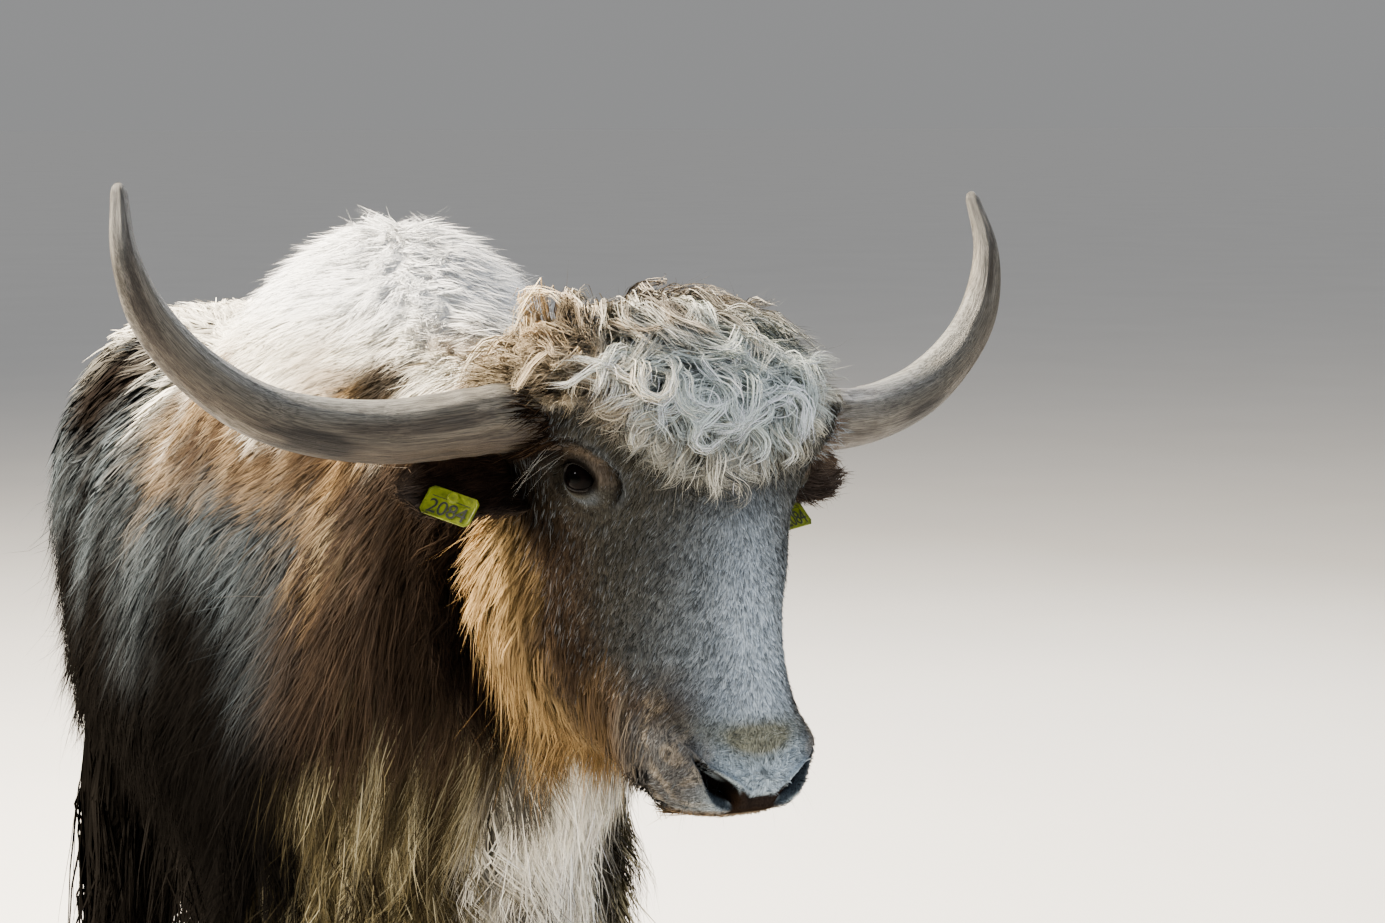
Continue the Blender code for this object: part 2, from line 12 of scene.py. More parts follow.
import bmesh
import bpy
import numpy as np
from mathutils import Matrix, Vector
from mathutils.bvhtree import BVHTree
from mathutils.kdtree import KDTree


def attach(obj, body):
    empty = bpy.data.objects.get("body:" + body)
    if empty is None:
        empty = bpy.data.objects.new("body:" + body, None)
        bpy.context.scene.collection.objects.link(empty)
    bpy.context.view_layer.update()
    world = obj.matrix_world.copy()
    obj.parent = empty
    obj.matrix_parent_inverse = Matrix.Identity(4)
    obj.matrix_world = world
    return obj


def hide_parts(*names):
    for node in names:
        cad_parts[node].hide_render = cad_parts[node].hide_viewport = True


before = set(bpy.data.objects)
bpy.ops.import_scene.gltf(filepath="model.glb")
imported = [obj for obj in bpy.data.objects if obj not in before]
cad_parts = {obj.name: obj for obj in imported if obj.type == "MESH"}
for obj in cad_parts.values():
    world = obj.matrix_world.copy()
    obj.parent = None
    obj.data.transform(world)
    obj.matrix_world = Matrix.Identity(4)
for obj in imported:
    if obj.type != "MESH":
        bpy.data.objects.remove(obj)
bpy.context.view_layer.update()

# ------------------------------------------------------------------ camera
CAMERA_PLACE = (-0.8748, -4.0088, 1.4986)
CAMERA_AZIMUTH = -17.5
CAMERA_DIP = 6.2
CAMERA_LENS, CAMERA_SENSOR = 86.56, 36.0  # mm

# ------------------------------------------------------------------ sizes
EYES_MIDDLE = (0.0526, -1.0726, 1.1530)
HEAD_YAW, HEAD_NOD, HEAD_TIP = 17.60, -3.13, 1.39
MIDLINE = -0.0624               # x of the body's middle plane

# head slices out to the hair tips: up, front, widest, back, half-width, front and back roundness
HEAD_SLICES = (
    (0.170, -0.012, 0.066, 0.130, 0.100, 2.0, 2.0),
    (0.150, -0.042, 0.068, 0.170, 0.150, 2.1, 2.0),
    (0.120, -0.062, 0.070, 0.195, 0.180, 2.2, 2.2),
    (0.085, -0.076, 0.070, 0.205, 0.184, 2.3, 2.2),
    (0.045, -0.084, 0.068, 0.208, 0.165, 2.3, 2.2),
    (0.000, -0.078, 0.066, 0.210, 0.139, 2.2, 2.2),
    (-0.045, -0.082, 0.120, 0.255, 0.135, 1.85, 2.2),
    (-0.100, -0.087, 0.140, 0.280, 0.133, 1.8, 2.2),
    (-0.150, -0.092, 0.135, 0.282, 0.124, 1.8, 2.2),
    (-0.195, -0.098, 0.090, 0.262, 0.110, 1.95, 2.2),
    (-0.225, -0.102, 0.030, 0.215, 0.094, 2.3, 2.1),
    (-0.250, -0.106, -0.010, 0.125, 0.087, 2.7, 2.1),
    (-0.275, -0.108, -0.030, 0.035, 0.081, 2.7, 2.1),
    (-0.295, -0.102, -0.038, 0.000, 0.071, 2.5, 2.1),
    (-0.308, -0.088, -0.042, -0.012, 0.056, 2.2, 2.0),
)
HEAD_AROUND = 306
# how the rings of the head's skin are spread, closest round the eyes and on the muzzle: run, height
RING_RUNS = (0.06, 0.16, 0.42, 0.65, 0.94)
RING_HEIGHTS = (0.165, 0.046, -0.044, -0.210, -0.300)
HEAD_ALONG = 182
# how the columns are spread, closest on the face: share of half the way round, degrees
COLUMN_SHARES = (0.0, 0.35, 0.40, 0.70, 0.78, 1.0)
COLUMN_DEGREES = (0.0, 38.0, 46.0, 80.0, 100.0, 180.0)

EYE_RADIUS = 0.0205
EYE_CENTRE = (0.1145, 0.0060, 0.0015)
EYE_LOOKS = (0.95, -0.30, 0.03)
EYE_SLANT = 17.0                # the opening's front corner lies lower
LID_HALF_LENGTH, LID_HALF_HEIGHT = 0.0180, 0.0120

NOSTRIL_MIDDLE = (0.0445, -0.094, -0.2765)
NOSTRIL_RUNS = (-0.68, 0.0, -0.73)          # from its upper outer corner to its wide inner end
NOSTRIL_HALF_LENGTH, NOSTRIL_HALF_WIDTH, NOSTRIL_DEPTH = 0.0315, 0.0108, 0.022

HORN_LEFT = (
    (0.112, 0.022, 0.046), (0.169, 0.041, 0.043), (0.281, 0.101, 0.044), (0.375, 0.133, 0.065),
    (0.433, 0.139, 0.105), (0.466, 0.141, 0.153), (0.484, 0.153, 0.211), (0.488, 0.181, 0.268),
)
HORN_RIGHT = (
    (-0.112, 0.022, 0.060), (-0.183, 0.046, 0.056), (-0.276, 0.098, 0.045), (-0.365, 0.131, 0.060),
    (-0.432, 0.138, 0.097), (-0.482, 0.141, 0.149), (-0.501, 0.152, 0.206), (-0.493, 0.181, 0.268),
)
HORN_RADII = (0.0325, 0.0312, 0.0292, 0.0262, 0.0224, 0.0187, 0.0122, 0.0066)
HORN_TIP = 0.955                # share of the horn's grid after which it closes as a dome

EAR_BASE = (0.085, 0.093, 0.000)
EAR_TIP = (0.250, 0.1115, -0.012)
EAR_FACES = (0.30, -0.88, 0.34)
EAR_HALF_BREADTH, EAR_CUP, EAR_HALF_THICKNESS = 0.034, 0.016, 0.0050

TAG_WIDTH, TAG_HEIGHT, TAG_THICKNESS, TAG_CLIP = 0.050, 0.031, 0.0016, 0.004
TAG_LEFT = ((0.172, 0.080, -0.050), (18.0, -36.0, -6.0))
TAG_RIGHT = ((-0.216, 0.082, -0.0245), (-35.0, -35.0, 22.9))
TAG_DIGITS = "2084"

# tail: height, middle y, half-breadth, half-depth of the brush
TAIL_BRUSH = (
    (1.100, 0.967, 0.036, 0.028), (1.010, 1.082, 0.050, 0.042), (0.900, 1.102, 0.070, 0.058),
    (0.770, 1.112, 0.090, 0.074), (0.640, 1.115, 0.100, 0.080), (0.510, 1.112, 0.088, 0.071),
    (0.400, 1.105, 0.060, 0.050), (0.335, 1.099, 0.026, 0.023),
)
DOCK_TOP, DOCK_END = 1.10, 0.66  # heights between which the tail has flesh
BELLY_TOP, BELLY_RISE = 0.80, 0.60  # below this height the flesh is drawn up to this share of its drop
LEG_HAIR = 0.006                # how far the legs' skin lies inside their solids

BODY_VOXEL, HOOF_VOXEL = 0.0132, 0.0032
BAKE_PATCH = 0.003              # side of each blade's patch on the coat's unwrap
ROOT_GAP = 0.0015               # a root farther from the joined skin lies inside another part
FLOOR_GAP = 0.004               # no hair hangs lower
WILD_SHARE = 0.07               # share of hairs that stray from their lock
LEADS_PER_LOCK = 7              # guide hairs that draw together into one broader lock
SKIN_SHADE = 0.40               # how much darker the skin is under deep coat

# place, target, size, power and colour of each light
LIGHTS = {
    "key": ((-3.1, 1.9, 5.1), (0.0, -0.5, 1.0), 1.0, 3400, "#fff1dc"),
    "fill": ((1.6, -6.0, 3.2), (0.0, -0.6, 0.9), 4.0, 230, "#dfeaff"),
    "catch": ((-3.7, -1.5, 2.25), (-0.1, -1.1, 1.15), 0.40, 60, "#ffffff"),
    "rim": ((3.4, 3.6, 3.8), (0.0, 0.0, 1.0), 2.4, 260, "#ffffff"),
}
# the room is brighter overhead than at the horizon, where it meets the floor without a line
ROOM_SHADES = ((0.0, (0.30, 0.302, 0.305)), (0.10, (0.31, 0.313, 0.318)), (0.9, (0.48, 0.49, 0.51)))

rng = np.random.default_rng(20)


# ------------------------------------------------------------------ small helpers
def colour(code):
    """An sRGB hex colour as linear red, green and blue."""
    parts = [int(code[i:i + 2], 16) / 255 for i in (1, 3, 5)]
    return np.array([c / 12.92 if c <= 0.04045 else ((c + 0.055) / 1.055) ** 2.4 for c in parts])


def bell(x, width):
    """1 at nought, falling off smoothly over the width."""
    return np.exp(-(x / width) ** 2)


def ease(low, high, x):
    """A smooth step from 0 at low to 1 at high; low may be the greater of the two."""
    t = np.clip((x - low) / (high - low), 0.0, 1.0)
    return t * t * (3 - 2 * t)


def mix(a, b, share):
    """Rows of a with b laid over them, as much as each row's share."""
    return a * (1 - share[..., None]) + np.asarray(b) * share[..., None]


def laid(base, count, layers):
    """The base tint for each point with layers over it in their order, each a shade and its share."""
    tint = np.tile(base, (count, 1))
    for shade, share in layers:
        tint = mix(tint, shade, share)
    return tint


def unit(v):
    return v / np.maximum(np.linalg.norm(v, axis=-1, keepdims=True), 1e-9)


def ripple(p, size, seed):
    """A smooth uneven field from -1 to 1 whose lumps are about the given size."""
    dice = np.random.default_rng(seed)
    total = np.zeros(p.shape[:-1])
    for _ in range(5):
        way = dice.normal(size=3)
        way /= np.linalg.norm(way)
        stretch = dice.uniform(0.7, 1.7)
        total += np.sin((p @ way) * (2 * math.pi * stretch / size) + dice.uniform(0, 2 * math.pi))
    return np.clip(total / 2.6, -1, 1)


def smooth_read(xs, ys, x):
    """A smooth curve through the stations (xs, ys), read at x."""
    xs, ys = np.asarray(xs, float), np.asarray(ys, float)
    if xs[0] > xs[-1]:
        xs, ys = xs[::-1], ys[::-1]
    slope = np.gradient(ys, xs)
    i = np.clip(np.searchsorted(xs, x) - 1, 0, len(xs) - 2)
    h = xs[i + 1] - xs[i]
    t = np.clip((x - xs[i]) / h, 0.0, 1.0)
    rise = h * (slope[i] * t * (1 - t) ** 2 + slope[i + 1] * t * t * (t - 1))
    return ys[i] * (1 + 2 * t) * (1 - t) ** 2 + ys[i + 1] * t * t * (3 - 2 * t) + rise


def head_matrix():
    """Where the head's own frame lies in the row's frame."""
    turn = Matrix.Rotation(math.radians(HEAD_YAW), 4, "Z")
    nod = Matrix.Rotation(math.radians(HEAD_NOD), 4, "X")
    tip = Matrix.Rotation(math.radians(HEAD_TIP), 4, "Y")
    return Matrix.Translation(EYES_MIDDLE) @ turn @ nod @ tip


HEAD = np.array(head_matrix())


def from_head(q):
    return np.asarray(q) @ HEAD[:3, :3].T + HEAD[:3, 3]


def to_head(p):
    return (np.asarray(p) - HEAD[:3, 3]) @ HEAD[:3, :3]


def turned_from_head(v):
    """Directions, so turned only."""
    return np.asarray(v) @ HEAD[:3, :3].T


def from_midline(p):
    """x from the body's middle plane, y and z of each point."""
    return (p - (MIDLINE, 0.0, 0.0)).T


def add_object(name, mesh):
    obj = bpy.data.objects.new(name, mesh)
    bpy.context.scene.collection.objects.link(obj)
    return obj


def from_bmesh(name, bm, smooth=True):
    mesh = bpy.data.meshes.new(name)
    for face in bm.faces:
        face.smooth = smooth
    bm.to_mesh(mesh)
    bm.free()
    return add_object(name, mesh)


def rolled(name, around, along, place):
    """A closed skin rolled from a grid: place(turn, run) says where each point goes, both from 0 to 1."""
    bm = bmesh.new()
    bmesh.ops.create_grid(bm, x_segments=around, y_segments=along, size=0.5)
    flat = np.array([vert.co for vert in bm.verts]) + 0.5
    for vert, spot in zip(bm.verts, place(flat[:, 0], flat[:, 1])):
        vert.co = spot
    bmesh.ops.remove_doubles(bm, verts=bm.verts, dist=1e-5)
    bmesh.ops.recalc_face_normals(bm, faces=bm.faces)
    return from_bmesh(name, bm)


def spots_of(mesh):
    flat = np.empty(len(mesh.vertices) * 3)
    mesh.vertices.foreach_get("co", flat)
    return flat.reshape(-1, 3)


def normals_of(mesh):
    flat = np.empty(len(mesh.vertices) * 3)
    mesh.vertex_normals.foreach_get("vector", flat)
    return flat.reshape(-1, 3)


def triangles_of(mesh):
    mesh.calc_loop_triangles()
    flat = np.empty(len(mesh.loop_triangles) * 3, dtype=np.int32)
    mesh.loop_triangles.foreach_get("vertices", flat)
    return flat.reshape(-1, 3)


def move_spots(mesh, spots):
    mesh.vertices.foreach_set("co", np.ascontiguousarray(spots, dtype=np.float32).ravel())
    mesh.update()


def settled(obj):
    """Applies an object's modifiers to its mesh."""
    graph = bpy.context.evaluated_depsgraph_get()
    mesh = bpy.data.meshes.new_from_object(obj.evaluated_get(graph))
    obj.modifiers.clear()
    obj.data = mesh
    return obj


def voxelled(obj, size, passes):
    """One even closed skin round everything in the object, smoothed a few times."""
    step = obj.modifiers.new("voxels", "REMESH")
    step.mode = "VOXEL"
    step.voxel_size = size
    step.use_smooth_shade = True
    soft = obj.modifiers.new("soften", "SMOOTH")
    soft.factor = 0.5
    soft.iterations = passes
    return settled(obj)


def united(obj, other):
    """Joins two closed skins into one without a seam."""
    step = obj.modifiers.new("join", "BOOLEAN")
    step.operation = "UNION"
    step.solver = "EXACT"
    step.object = other
    settled(obj)
    bpy.data.objects.remove(other)
    return obj


def write_colours(mesh, colours):
    """The colour of each point, which the material reads."""
    layer = mesh.color_attributes.new("coat_colour", "FLOAT_COLOR", "POINT")
    rgba = np.ones((len(colours), 4), dtype=np.float32)
    rgba[:, :3] = colours
    layer.data.foreach_set("color", rgba.ravel())


# ------------------------------------------------------------------ materials
def fill(node, values):
    """Fills a node's sockets: from a node's first output, from a socket, or with a plain value."""
    for socket, value in values.items():
        if isinstance(value, bpy.types.Node):
            value = value.outputs[0]
        if isinstance(value, bpy.types.NodeSocket):
            node.id_data.links.new(value, node.inputs[socket])
        else:
            node.inputs[socket].default_value = value


def add_node(tree, kind, values=None, **settings):
    """Adds a node to a material or to the room, sets it and fills its sockets."""
    node = tree.nodes.new(kind)
    for key, value in settings.items():
        setattr(node, key, value)
    fill(node, values or {})
    return node


def new_material(name, finish):
    """A material, its shader with the finish's values, and the function that adds nodes to it."""
    material = bpy.data.materials.new(name)
    material.use_nodes = True
    shader = material.node_tree.nodes["Principled BSDF"]
    fill(shader, finish)
    return material, shader, partial(add_node, material.node_tree)


def set_ramp(node, stops):
    ramp = node.color_ramp
    ramp.elements[0].position, ramp.elements[1].position = stops[0][0], stops[-1][0]
    ramp.elements[0].color, ramp.elements[1].color = (*stops[0][1], 1), (*stops[-1][1], 1)
    for place, shade in stops[1:-1]:
        ramp.elements.new(place).color = (*shade, 1)
    return node


def hair_material(name, roughness):
    """Yak guard hair and down: matt; each blade shows several hairs side by side."""
    finish = {"Roughness": roughness, "Specular IOR Level": 0.0, "IOR": 1.55}
    material, shader, add = new_material(name, finish)
    tint = add("ShaderNodeAttribute", attribute_name="coat_colour")
    strand = add("ShaderNodeAttribute", attribute_name="strand").outputs["Vector"]
    spread = add("ShaderNodeVectorMath", {0: strand, 1: (3.6, 1.3, 61.0)}, operation="MULTIPLY")
    hairs = add("ShaderNodeTexNoise", {"Vector": spread, "Scale": 1.0, "Detail": 2.0, "Roughness": 0.6})
    lift = add("ShaderNodeMapRange", {0: hairs, 1: 0.30, 2: 0.70, 3: 0.52, 4: 1.42})
    shade = add("ShaderNodeVectorMath", {0: tint, "Scale": lift}, operation="SCALE")
    bump = add("ShaderNodeBump", {"Height": hairs, "Strength": 0.35, "Distance": 0.0012})
    fill(shader, {"Base Color": shade, "Normal": bump})
    return material


def skin_material():
    """Hide under short hair: the hairs' lie shows as fine streaks about 1 mm wide and 7 mm long."""
    finish = {"Roughness": 0.62, "Specular IOR Level": 0.0}
    material, shader, add = new_material("hide_under_short_hair", finish)
    tint = add("ShaderNodeAttribute", attribute_name="coat_colour")
    place = add("ShaderNodeTexCoord").outputs["Object"]
    turn = tuple(math.radians(a) for a in (-HEAD_NOD, -HEAD_TIP, -HEAD_YAW))
    lie = add("ShaderNodeMapping", {"Vector": place, "Rotation": turn, "Scale": (900.0, 900.0, 150.0)})
    streaks = add("ShaderNodeTexNoise", {"Vector": lie, "Scale": 1.0, "Detail": 2.0, "Roughness": 0.5})
    lift = add("ShaderNodeMapRange", {0: streaks, 1: 0.32, 2: 0.68, 3: 0.50, 4: 1.45})
    shade = add("ShaderNodeVectorMath", {0: tint, "Scale": lift}, operation="SCALE")
    bump = add("ShaderNodeBump", {"Height": streaks, "Strength": 0.5, "Distance": 0.0008})
    fill(shader, {"Base Color": shade, "Normal": bump})
    return material


def horn_material():
    """Weathered horn sheath: dull grey-brown with lengthwise fibres, darker worn patches, smooth tips."""
    material, shader, add = new_material("weathered_horn", {"IOR": 1.55, "Specular IOR Level": 0.20})
    tint = add("ShaderNodeAttribute", attribute_name="coat_colour")
    grain = add("ShaderNodeAttribute", attribute_name="grain").outputs["Vector"]
    fibre_way = add("ShaderNodeVectorMath", {0: grain, 1: (27.0, 27.0, 6.0)}, operation="MULTIPLY")
    fibres = add("ShaderNodeTexNoise", {"Vector": fibre_way, "Scale": 1.0, "Detail": 5.0, "Roughness": 0.65})
    crack_way = add("ShaderNodeVectorMath", {0: grain, 1: (17.0, 17.0, 5.0)}, operation="MULTIPLY")
    cracks = add("ShaderNodeTexNoise", {"Vector": crack_way, "Scale": 1.0, "Detail": 4.0, "Roughness": 0.7,
                                        "Distortion": 0.6})
    lift = add("ShaderNodeMapRange", {0: fibres, 1: 0.38, 2: 0.62, 3: 0.40, 4: 1.30})
    dark = add("ShaderNodeMapRange", {0: cracks, 1: 0.30, 2: 0.42, 3: 0.35, 4: 1.0})
    both = add("ShaderNodeMath", {0: lift, 1: dark}, operation="MULTIPLY")
    shade = add("ShaderNodeVectorMath", {0: tint, "Scale": both}, operation="SCALE")
    rough = add("ShaderNodeMapRange", {0: fibres, 1: 0.3, 2: 0.7, 3: 0.62, 4: 0.42})
    height = add("ShaderNodeMath", {0: fibres, 1: dark}, operation="MULTIPLY")
    bump = add("ShaderNodeBump", {"Height": height, "Strength": 0.9, "Distance": 0.0020})
    fill(shader, {"Base Color": shade, "Roughness": rough, "Normal": bump})
    return material


def hoof_material():
    """Hoof wall: slate-brown horn with faint level growth rings about 6 mm apart."""
    material, shader, add = new_material("hoof_wall", {"IOR": 1.55, "Roughness": 0.48})
    place = add("ShaderNodeTexCoord").outputs["Object"]
    rings = add("ShaderNodeMapping", {"Vector": place, "Scale": (14.0, 14.0, 165.0)})
    bands = add("ShaderNodeTexNoise", {"Vector": rings, "Scale": 1.0, "Detail": 3.0, "Roughness": 0.55})
    stops = ((0.30, colour("#1f1a17")), (0.55, colour("#3b332d")), (0.75, colour("#5a4f46")))
    shade = set_ramp(add("ShaderNodeValToRGB", {0: bands}), stops)
    bump = add("ShaderNodeBump", {"Height": bands, "Strength": 0.5, "Distance": 0.0015})
    fill(shader, {"Base Color": shade, "Normal": bump})
    return material


def eye_material(side):
    """A wet eye: a nearly black iris and level pupil under a clear film that takes sharp highlights."""
    finish = {"Roughness": 0.30, "IOR": 1.336, "Specular IOR Level": 0.0, "Coat Weight": 0.05,
              "Coat Roughness": 0.02}
    material, shader, add = new_material(f"wet_eye_{side}", finish)
    fill(shader, {"Base Color": add("ShaderNodeAttribute", attribute_name="coat_colour")})
    return material


def wet_skin_material(name, code, roughness):
    """Bare dark skin of the lid rims: finely pebbled and moist."""
    material, shader, add = new_material(name, {"Roughness": roughness, "Specular IOR Level": 0.10})
    place = add("ShaderNodeTexCoord").outputs["Object"]
    pebbles = add("ShaderNodeTexNoise", {"Vector": place, "Scale": 700.0, "Detail": 2.0, "Roughness": 0.5})
    stops = ((0.3, colour(code) * 0.6), (0.7, colour(code) * 1.5))
    shade = set_ramp(add("ShaderNodeValToRGB", {0: pebbles}), stops)
    bump = add("ShaderNodeBump", {"Height": pebbles, "Strength": 0.4, "Distance": 0.0006})
    fill(shader, {"Base Color": shade, "Normal": bump})
    return material


def tag_material():
    """Moulded lime-yellow polyurethane, darkened to olive as painted shade: satin, slightly scuffed, with a
    fine moulded grain.
    """
    finish = {"Roughness": 0.50, "IOR": 1.50, "Specular IOR Level": 0.25}
    material, shader, add = new_material("moulded_polyurethane", finish)
    place = add("ShaderNodeTexCoord").outputs["Object"]
    scuffs = add("ShaderNodeTexNoise", {"Vector": place, "Scale": 110.0, "Detail": 4.0, "Roughness": 0.65})
    # painted shade: the lime-yellow is darkened to olive, as the tag looks in the horn's shadow
    stops = ((0.32, colour("#444b05")), (0.50, colour("#616a07")), (0.72, colour("#727b0e")))
    shade = set_ramp(add("ShaderNodeValToRGB", {0: scuffs}), stops)
    grain = add("ShaderNodeTexNoise", {"Vector": place, "Scale": 1400.0, "Detail": 2.0, "Roughness": 0.5})
    bump = add("ShaderNodeBump", {"Height": grain, "Strength": 0.2, "Distance": 0.0003})
    fill(shader, {"Base Color": shade, "Normal": bump})
    return material


def ink_material():
    """Laser-marked digits: dark green-black, burnt a little into the tag."""
    return new_material("marked_digits", {"Base Color": (*colour("#12160a"), 1), "Roughness": 0.65})[0]


def floor_material():
    """Pale matt studio floor: an even painted screed, with the faintest mottling."""
    material, shader, add = new_material("painted_screed", {"Roughness": 0.8})
    place = add("ShaderNodeTexCoord").outputs["Object"]
    clouds = add("ShaderNodeTexNoise", {"Vector": place, "Scale": 1.2, "Detail": 3.0, "Roughness": 0.5})
    stops = ((0.3, colour("#d6d4d0")), (0.7, colour("#dad8d4")))
    fill(shader, {"Base Color": set_ramp(add("ShaderNodeValToRGB", {0: clouds}), stops)})
    return material


# ------------------------------------------------------------------ the markings
# painted shade: the cool green-white is white hair as it looks in shade
CREAM, WHITE, COOL_SHADED_WHITE = colour("#e6e1d3"), colour("#fafbfa"), colour("#e9f4ec")
TAN, GOLD, FAWN = colour("#7a6242"), colour("#b69764"), colour("#cfb892")
BROWN, UMBER, DARK = colour("#34281d"), colour("#120d09"), colour("#0c0a08")
# painted shade: grey-brown and ash are darkened and cooled to a blue-grey, as the flanks look in shade
GREY_BROWN, ASH = colour("#2a2c2d"), colour("#444b4f")
# painted shade: the chest's straw is darkened nearly to brown-black, as the chest looks in shade
SHADED_STRAW, OCHRE, YELLOWED = colour("#2c271b"), colour("#786c4a"), colour("#cfc7a6")
# painted sky sheen: roan and the muzzle's grey are tinted pale blue, as hair looks under a blue sky
TAUPE, ROAN_AND_SKY_SHEEN, MUZZLE_GREY_AND_SKY_SHEEN = colour("#302e28"), colour("#b4c1ca"), colour("#85939a")
BARE, LID_PALE, OLIVE = colour("#080605"), colour("#464e56"), colour("#61582c")
FLAP, NOSE_PAD, LID_BROWN = colour("#262d32"), colour("#17100b"), colour("#51473c")
EAR_DARK, EAR_GREY = colour("#1f1610"), colour("#54483d")


def body_markings(p):
    """White over the back and hump, tan below it, grey-brown flanks, dark low down, a pale chest, with
    painted shade and sunlight.
    """
    x, y, z = from_midline(p)
    wide, fine = ripple(p, 0.42, 3), ripple(p, 0.13, 4)
    streaks = ripple(p * (1, 1, 0.30), 0.10, 8)
    strands = ripple(p * (1, 1, 0.22), 0.045, 14)
    threads = ripple(p * (1, 1, 0.25), 0.018, 16)
    mottle = 0.25 * fine + 0.15 * wide + 0.35 * strands + 0.60 * threads
    front = ease(-0.54, -0.68, y)
    tan_and_sunlit_band = bell(y + 0.635 + 0.25 * (1.11 - z), 0.055) * ease(0.94, 1.03, z + 0.04 * fine)
    shade_behind_jaw = ease(-0.74, -0.80, y) * ease(1.17, 1.08, z) * ease(0.84, 0.92, z)
    low = ease(1.00, 0.84, z + 0.07 * wide + 0.04 * fine) * ease(-0.76, -0.62, y)
    edge = z - 0.03 * bell(y + 0.34, 0.30) - 0.06 * ease(-0.62, -0.78, y)
    under_edge = ease(0.25, -0.15, y) * ease(-0.71, -0.64, y + 0.03 * streaks)
    light = ease(1.04, 1.14, edge + 0.05 * streaks) * ease(-0.1, 0.8, 0.6 * strands + 0.5 * threads)
    pale = ease(1.11, 1.19, edge + 0.05 * wide + 0.03 * fine)
    shadow = ease(-0.1, 0.6, ripple(p * (1, 1, 0.35), 0.075, 15)) * ease(0.25, -0.15, y)
    rim = ease(-0.42, -0.56, y) * ease(1.310, 1.250, z + 0.02 * streaks)
    fold_shade = bell(y + 0.645, 0.058) * bell(z - 1.214, 0.030) * bell(np.abs(x) - 0.105, 0.036)
    saddle = bell(y - 0.58, 0.19) * bell(z - 1.10, 0.085)
    start = np.clip(-0.62 + 0.9 * (0.75 - z), -0.72, -0.42) + 0.12 * ease(0.0, 0.12, x)
    chest = ease(start + 0.05, start - 0.05, y + 0.03 * fine)
    chest = chest * ease(0.89, 0.77, z + 0.10 * np.abs(x) + 0.05 * fine)
    chest_shade = ease(0.2, 0.8, ripple(p * (1, 1, 0.35), 0.20, 13)) * ease(0.02, -0.08, x)
    bib = ease(-0.035, 0.055, x + 0.04 * fine) * ease(-0.50, -0.62, y)
    leg = ease(0.32, 0.24, z) * ease(1.02, 0.98, y)
    tail = ease(0.98, 1.04, y)
    return laid(GREY_BROWN, len(p), (
        (ASH, 0.85 * ease(-0.7, 0.6, mottle) * ease(0.80, 0.98, z + 0.05 * strands)),
        # brown over the shoulder and neck, darkened as painted shade, with a tan band down the front of the
        # shoulder whose pale fawn streaks are painted sunlight
        (BROWN, 0.85 * front),
        (UMBER, 0.55 * front * ease(0.0, 0.8, strands)),
        (TAN, 0.80 * tan_and_sunlit_band * ease(-0.3, 0.5, streaks)),
        (FAWN, 0.38 * tan_and_sunlit_band * ease(0.1, 0.8, strands)),
        # painted shade: the neck is darkened behind the jaw, where the head's shadow falls
        (UMBER, shade_behind_jaw * (0.80 + 0.15 * fine)),
        # dark low on the flanks, darkest to the rear: the coat's own dark colour, deepened as painted shade
        (DARK, 0.97 * low),
        # the back and hump, with tan streaks along the edge of the white; it ends higher on the neck
        (TAN, 0.75 * ease(1.13, 1.18, z) * ease(-0.62, -0.70, y)),
        (TAN, 0.70 * ease(0.99, 1.13, edge + 0.04 * wide + 0.04 * strands) * under_edge),
        # painted sunlight: pale fawn streaks along the top of the flank, under the edge of the white
        (FAWN, 0.42 * light * under_edge),
        (CREAM, pale),
        # painted shadow: brown streaks across the top of the flank
        (BROWN, 0.88 * bell(z - 1.130, 0.070) * shadow),
        (TAN, 0.80 * rim * ease(-0.1, 0.5, streaks) * pale),
        (WHITE, ease(1.22, 1.29, z) * ease(-0.72, -0.62, y)),
        # painted shade in a fold below the hump on each side, and a dark saddle at the hips
        (UMBER, np.clip(2.2 * fold_shade * (0.8 + 0.5 * streaks), 0, 0.93)),
        (UMBER, np.clip(1.35 * saddle + 0.4 * saddle * fine, 0, 0.95)),
        # the chest: pale strands over a dark straw base that is painted shade, with ochre between, painted
        # shade in brown at its right side, white in front, and a few dark spots
        (SHADED_STRAW, 0.92 * chest),
        (OCHRE, 0.72 * chest * ease(-0.5, 0.6, 0.7 * strands + 0.4 * threads + 0.3 * fine)),
        (YELLOWED, 0.50 * chest * ease(0.15, 1.0, 0.7 * strands + 0.5 * threads + 0.3 * fine)),
        (UMBER, 0.65 * chest * chest_shade),
        (CREAM, 0.94 * chest * bib),
        (UMBER, 0.88 * chest * ease(0.58, 0.80, ripple(p, 0.15, 12))),
        # the legs are pale again below the knee, the tail is dark
        (BROWN, 0.8 * ease(0.36, 0.30, z) * ease(1.02, 0.98, y)),
        (CREAM, 0.70 * leg * ease(-0.2, 0.5, wide + 0.4)),
        (UMBER, tail),
        (BROWN, 0.8 * tail * ease(0.0, 0.8, streaks)),
    ))


def eye_layers(q, side, fine):
    """The eyes look out of dark hair under a brown fold; the lower lid is pale."""
    a, b, _, opening, reach = eye_reach(q, side)
    flat = np.hypot(a, b)
    whole = np.maximum(flat, 1e-4)
    above = ease(-0.55, 0.25, (b + 0.35 * a) / whole) * ease(0.06, 0.05, reach)
    near = ease(0.05, 0.04, reach)
    under = (1 - above) * bell(flat - 0.0235, 0.0036) * near * ease(0.2, -0.3, b / 0.02)
    return [
        (UMBER, 0.12 * ease(0.060, 0.030, reach + 0.006 * fine)),
        (LID_BROWN, 0.75 * above * ease(-0.3, 0.4, b / whole) * bell(flat - 0.025, 0.008)),
        # painted shade in the crease of the fold over the eye
        (DARK, 0.85 * above * bell(flat - 0.0345, 0.0026)),
        (LID_PALE, 0.28 * above * bell(flat - 0.0405, 0.0040)),
        (DARK, 0.95 * ease(1.42, 1.22, opening) * near),
        (LID_PALE, 0.45 * under),
    ]


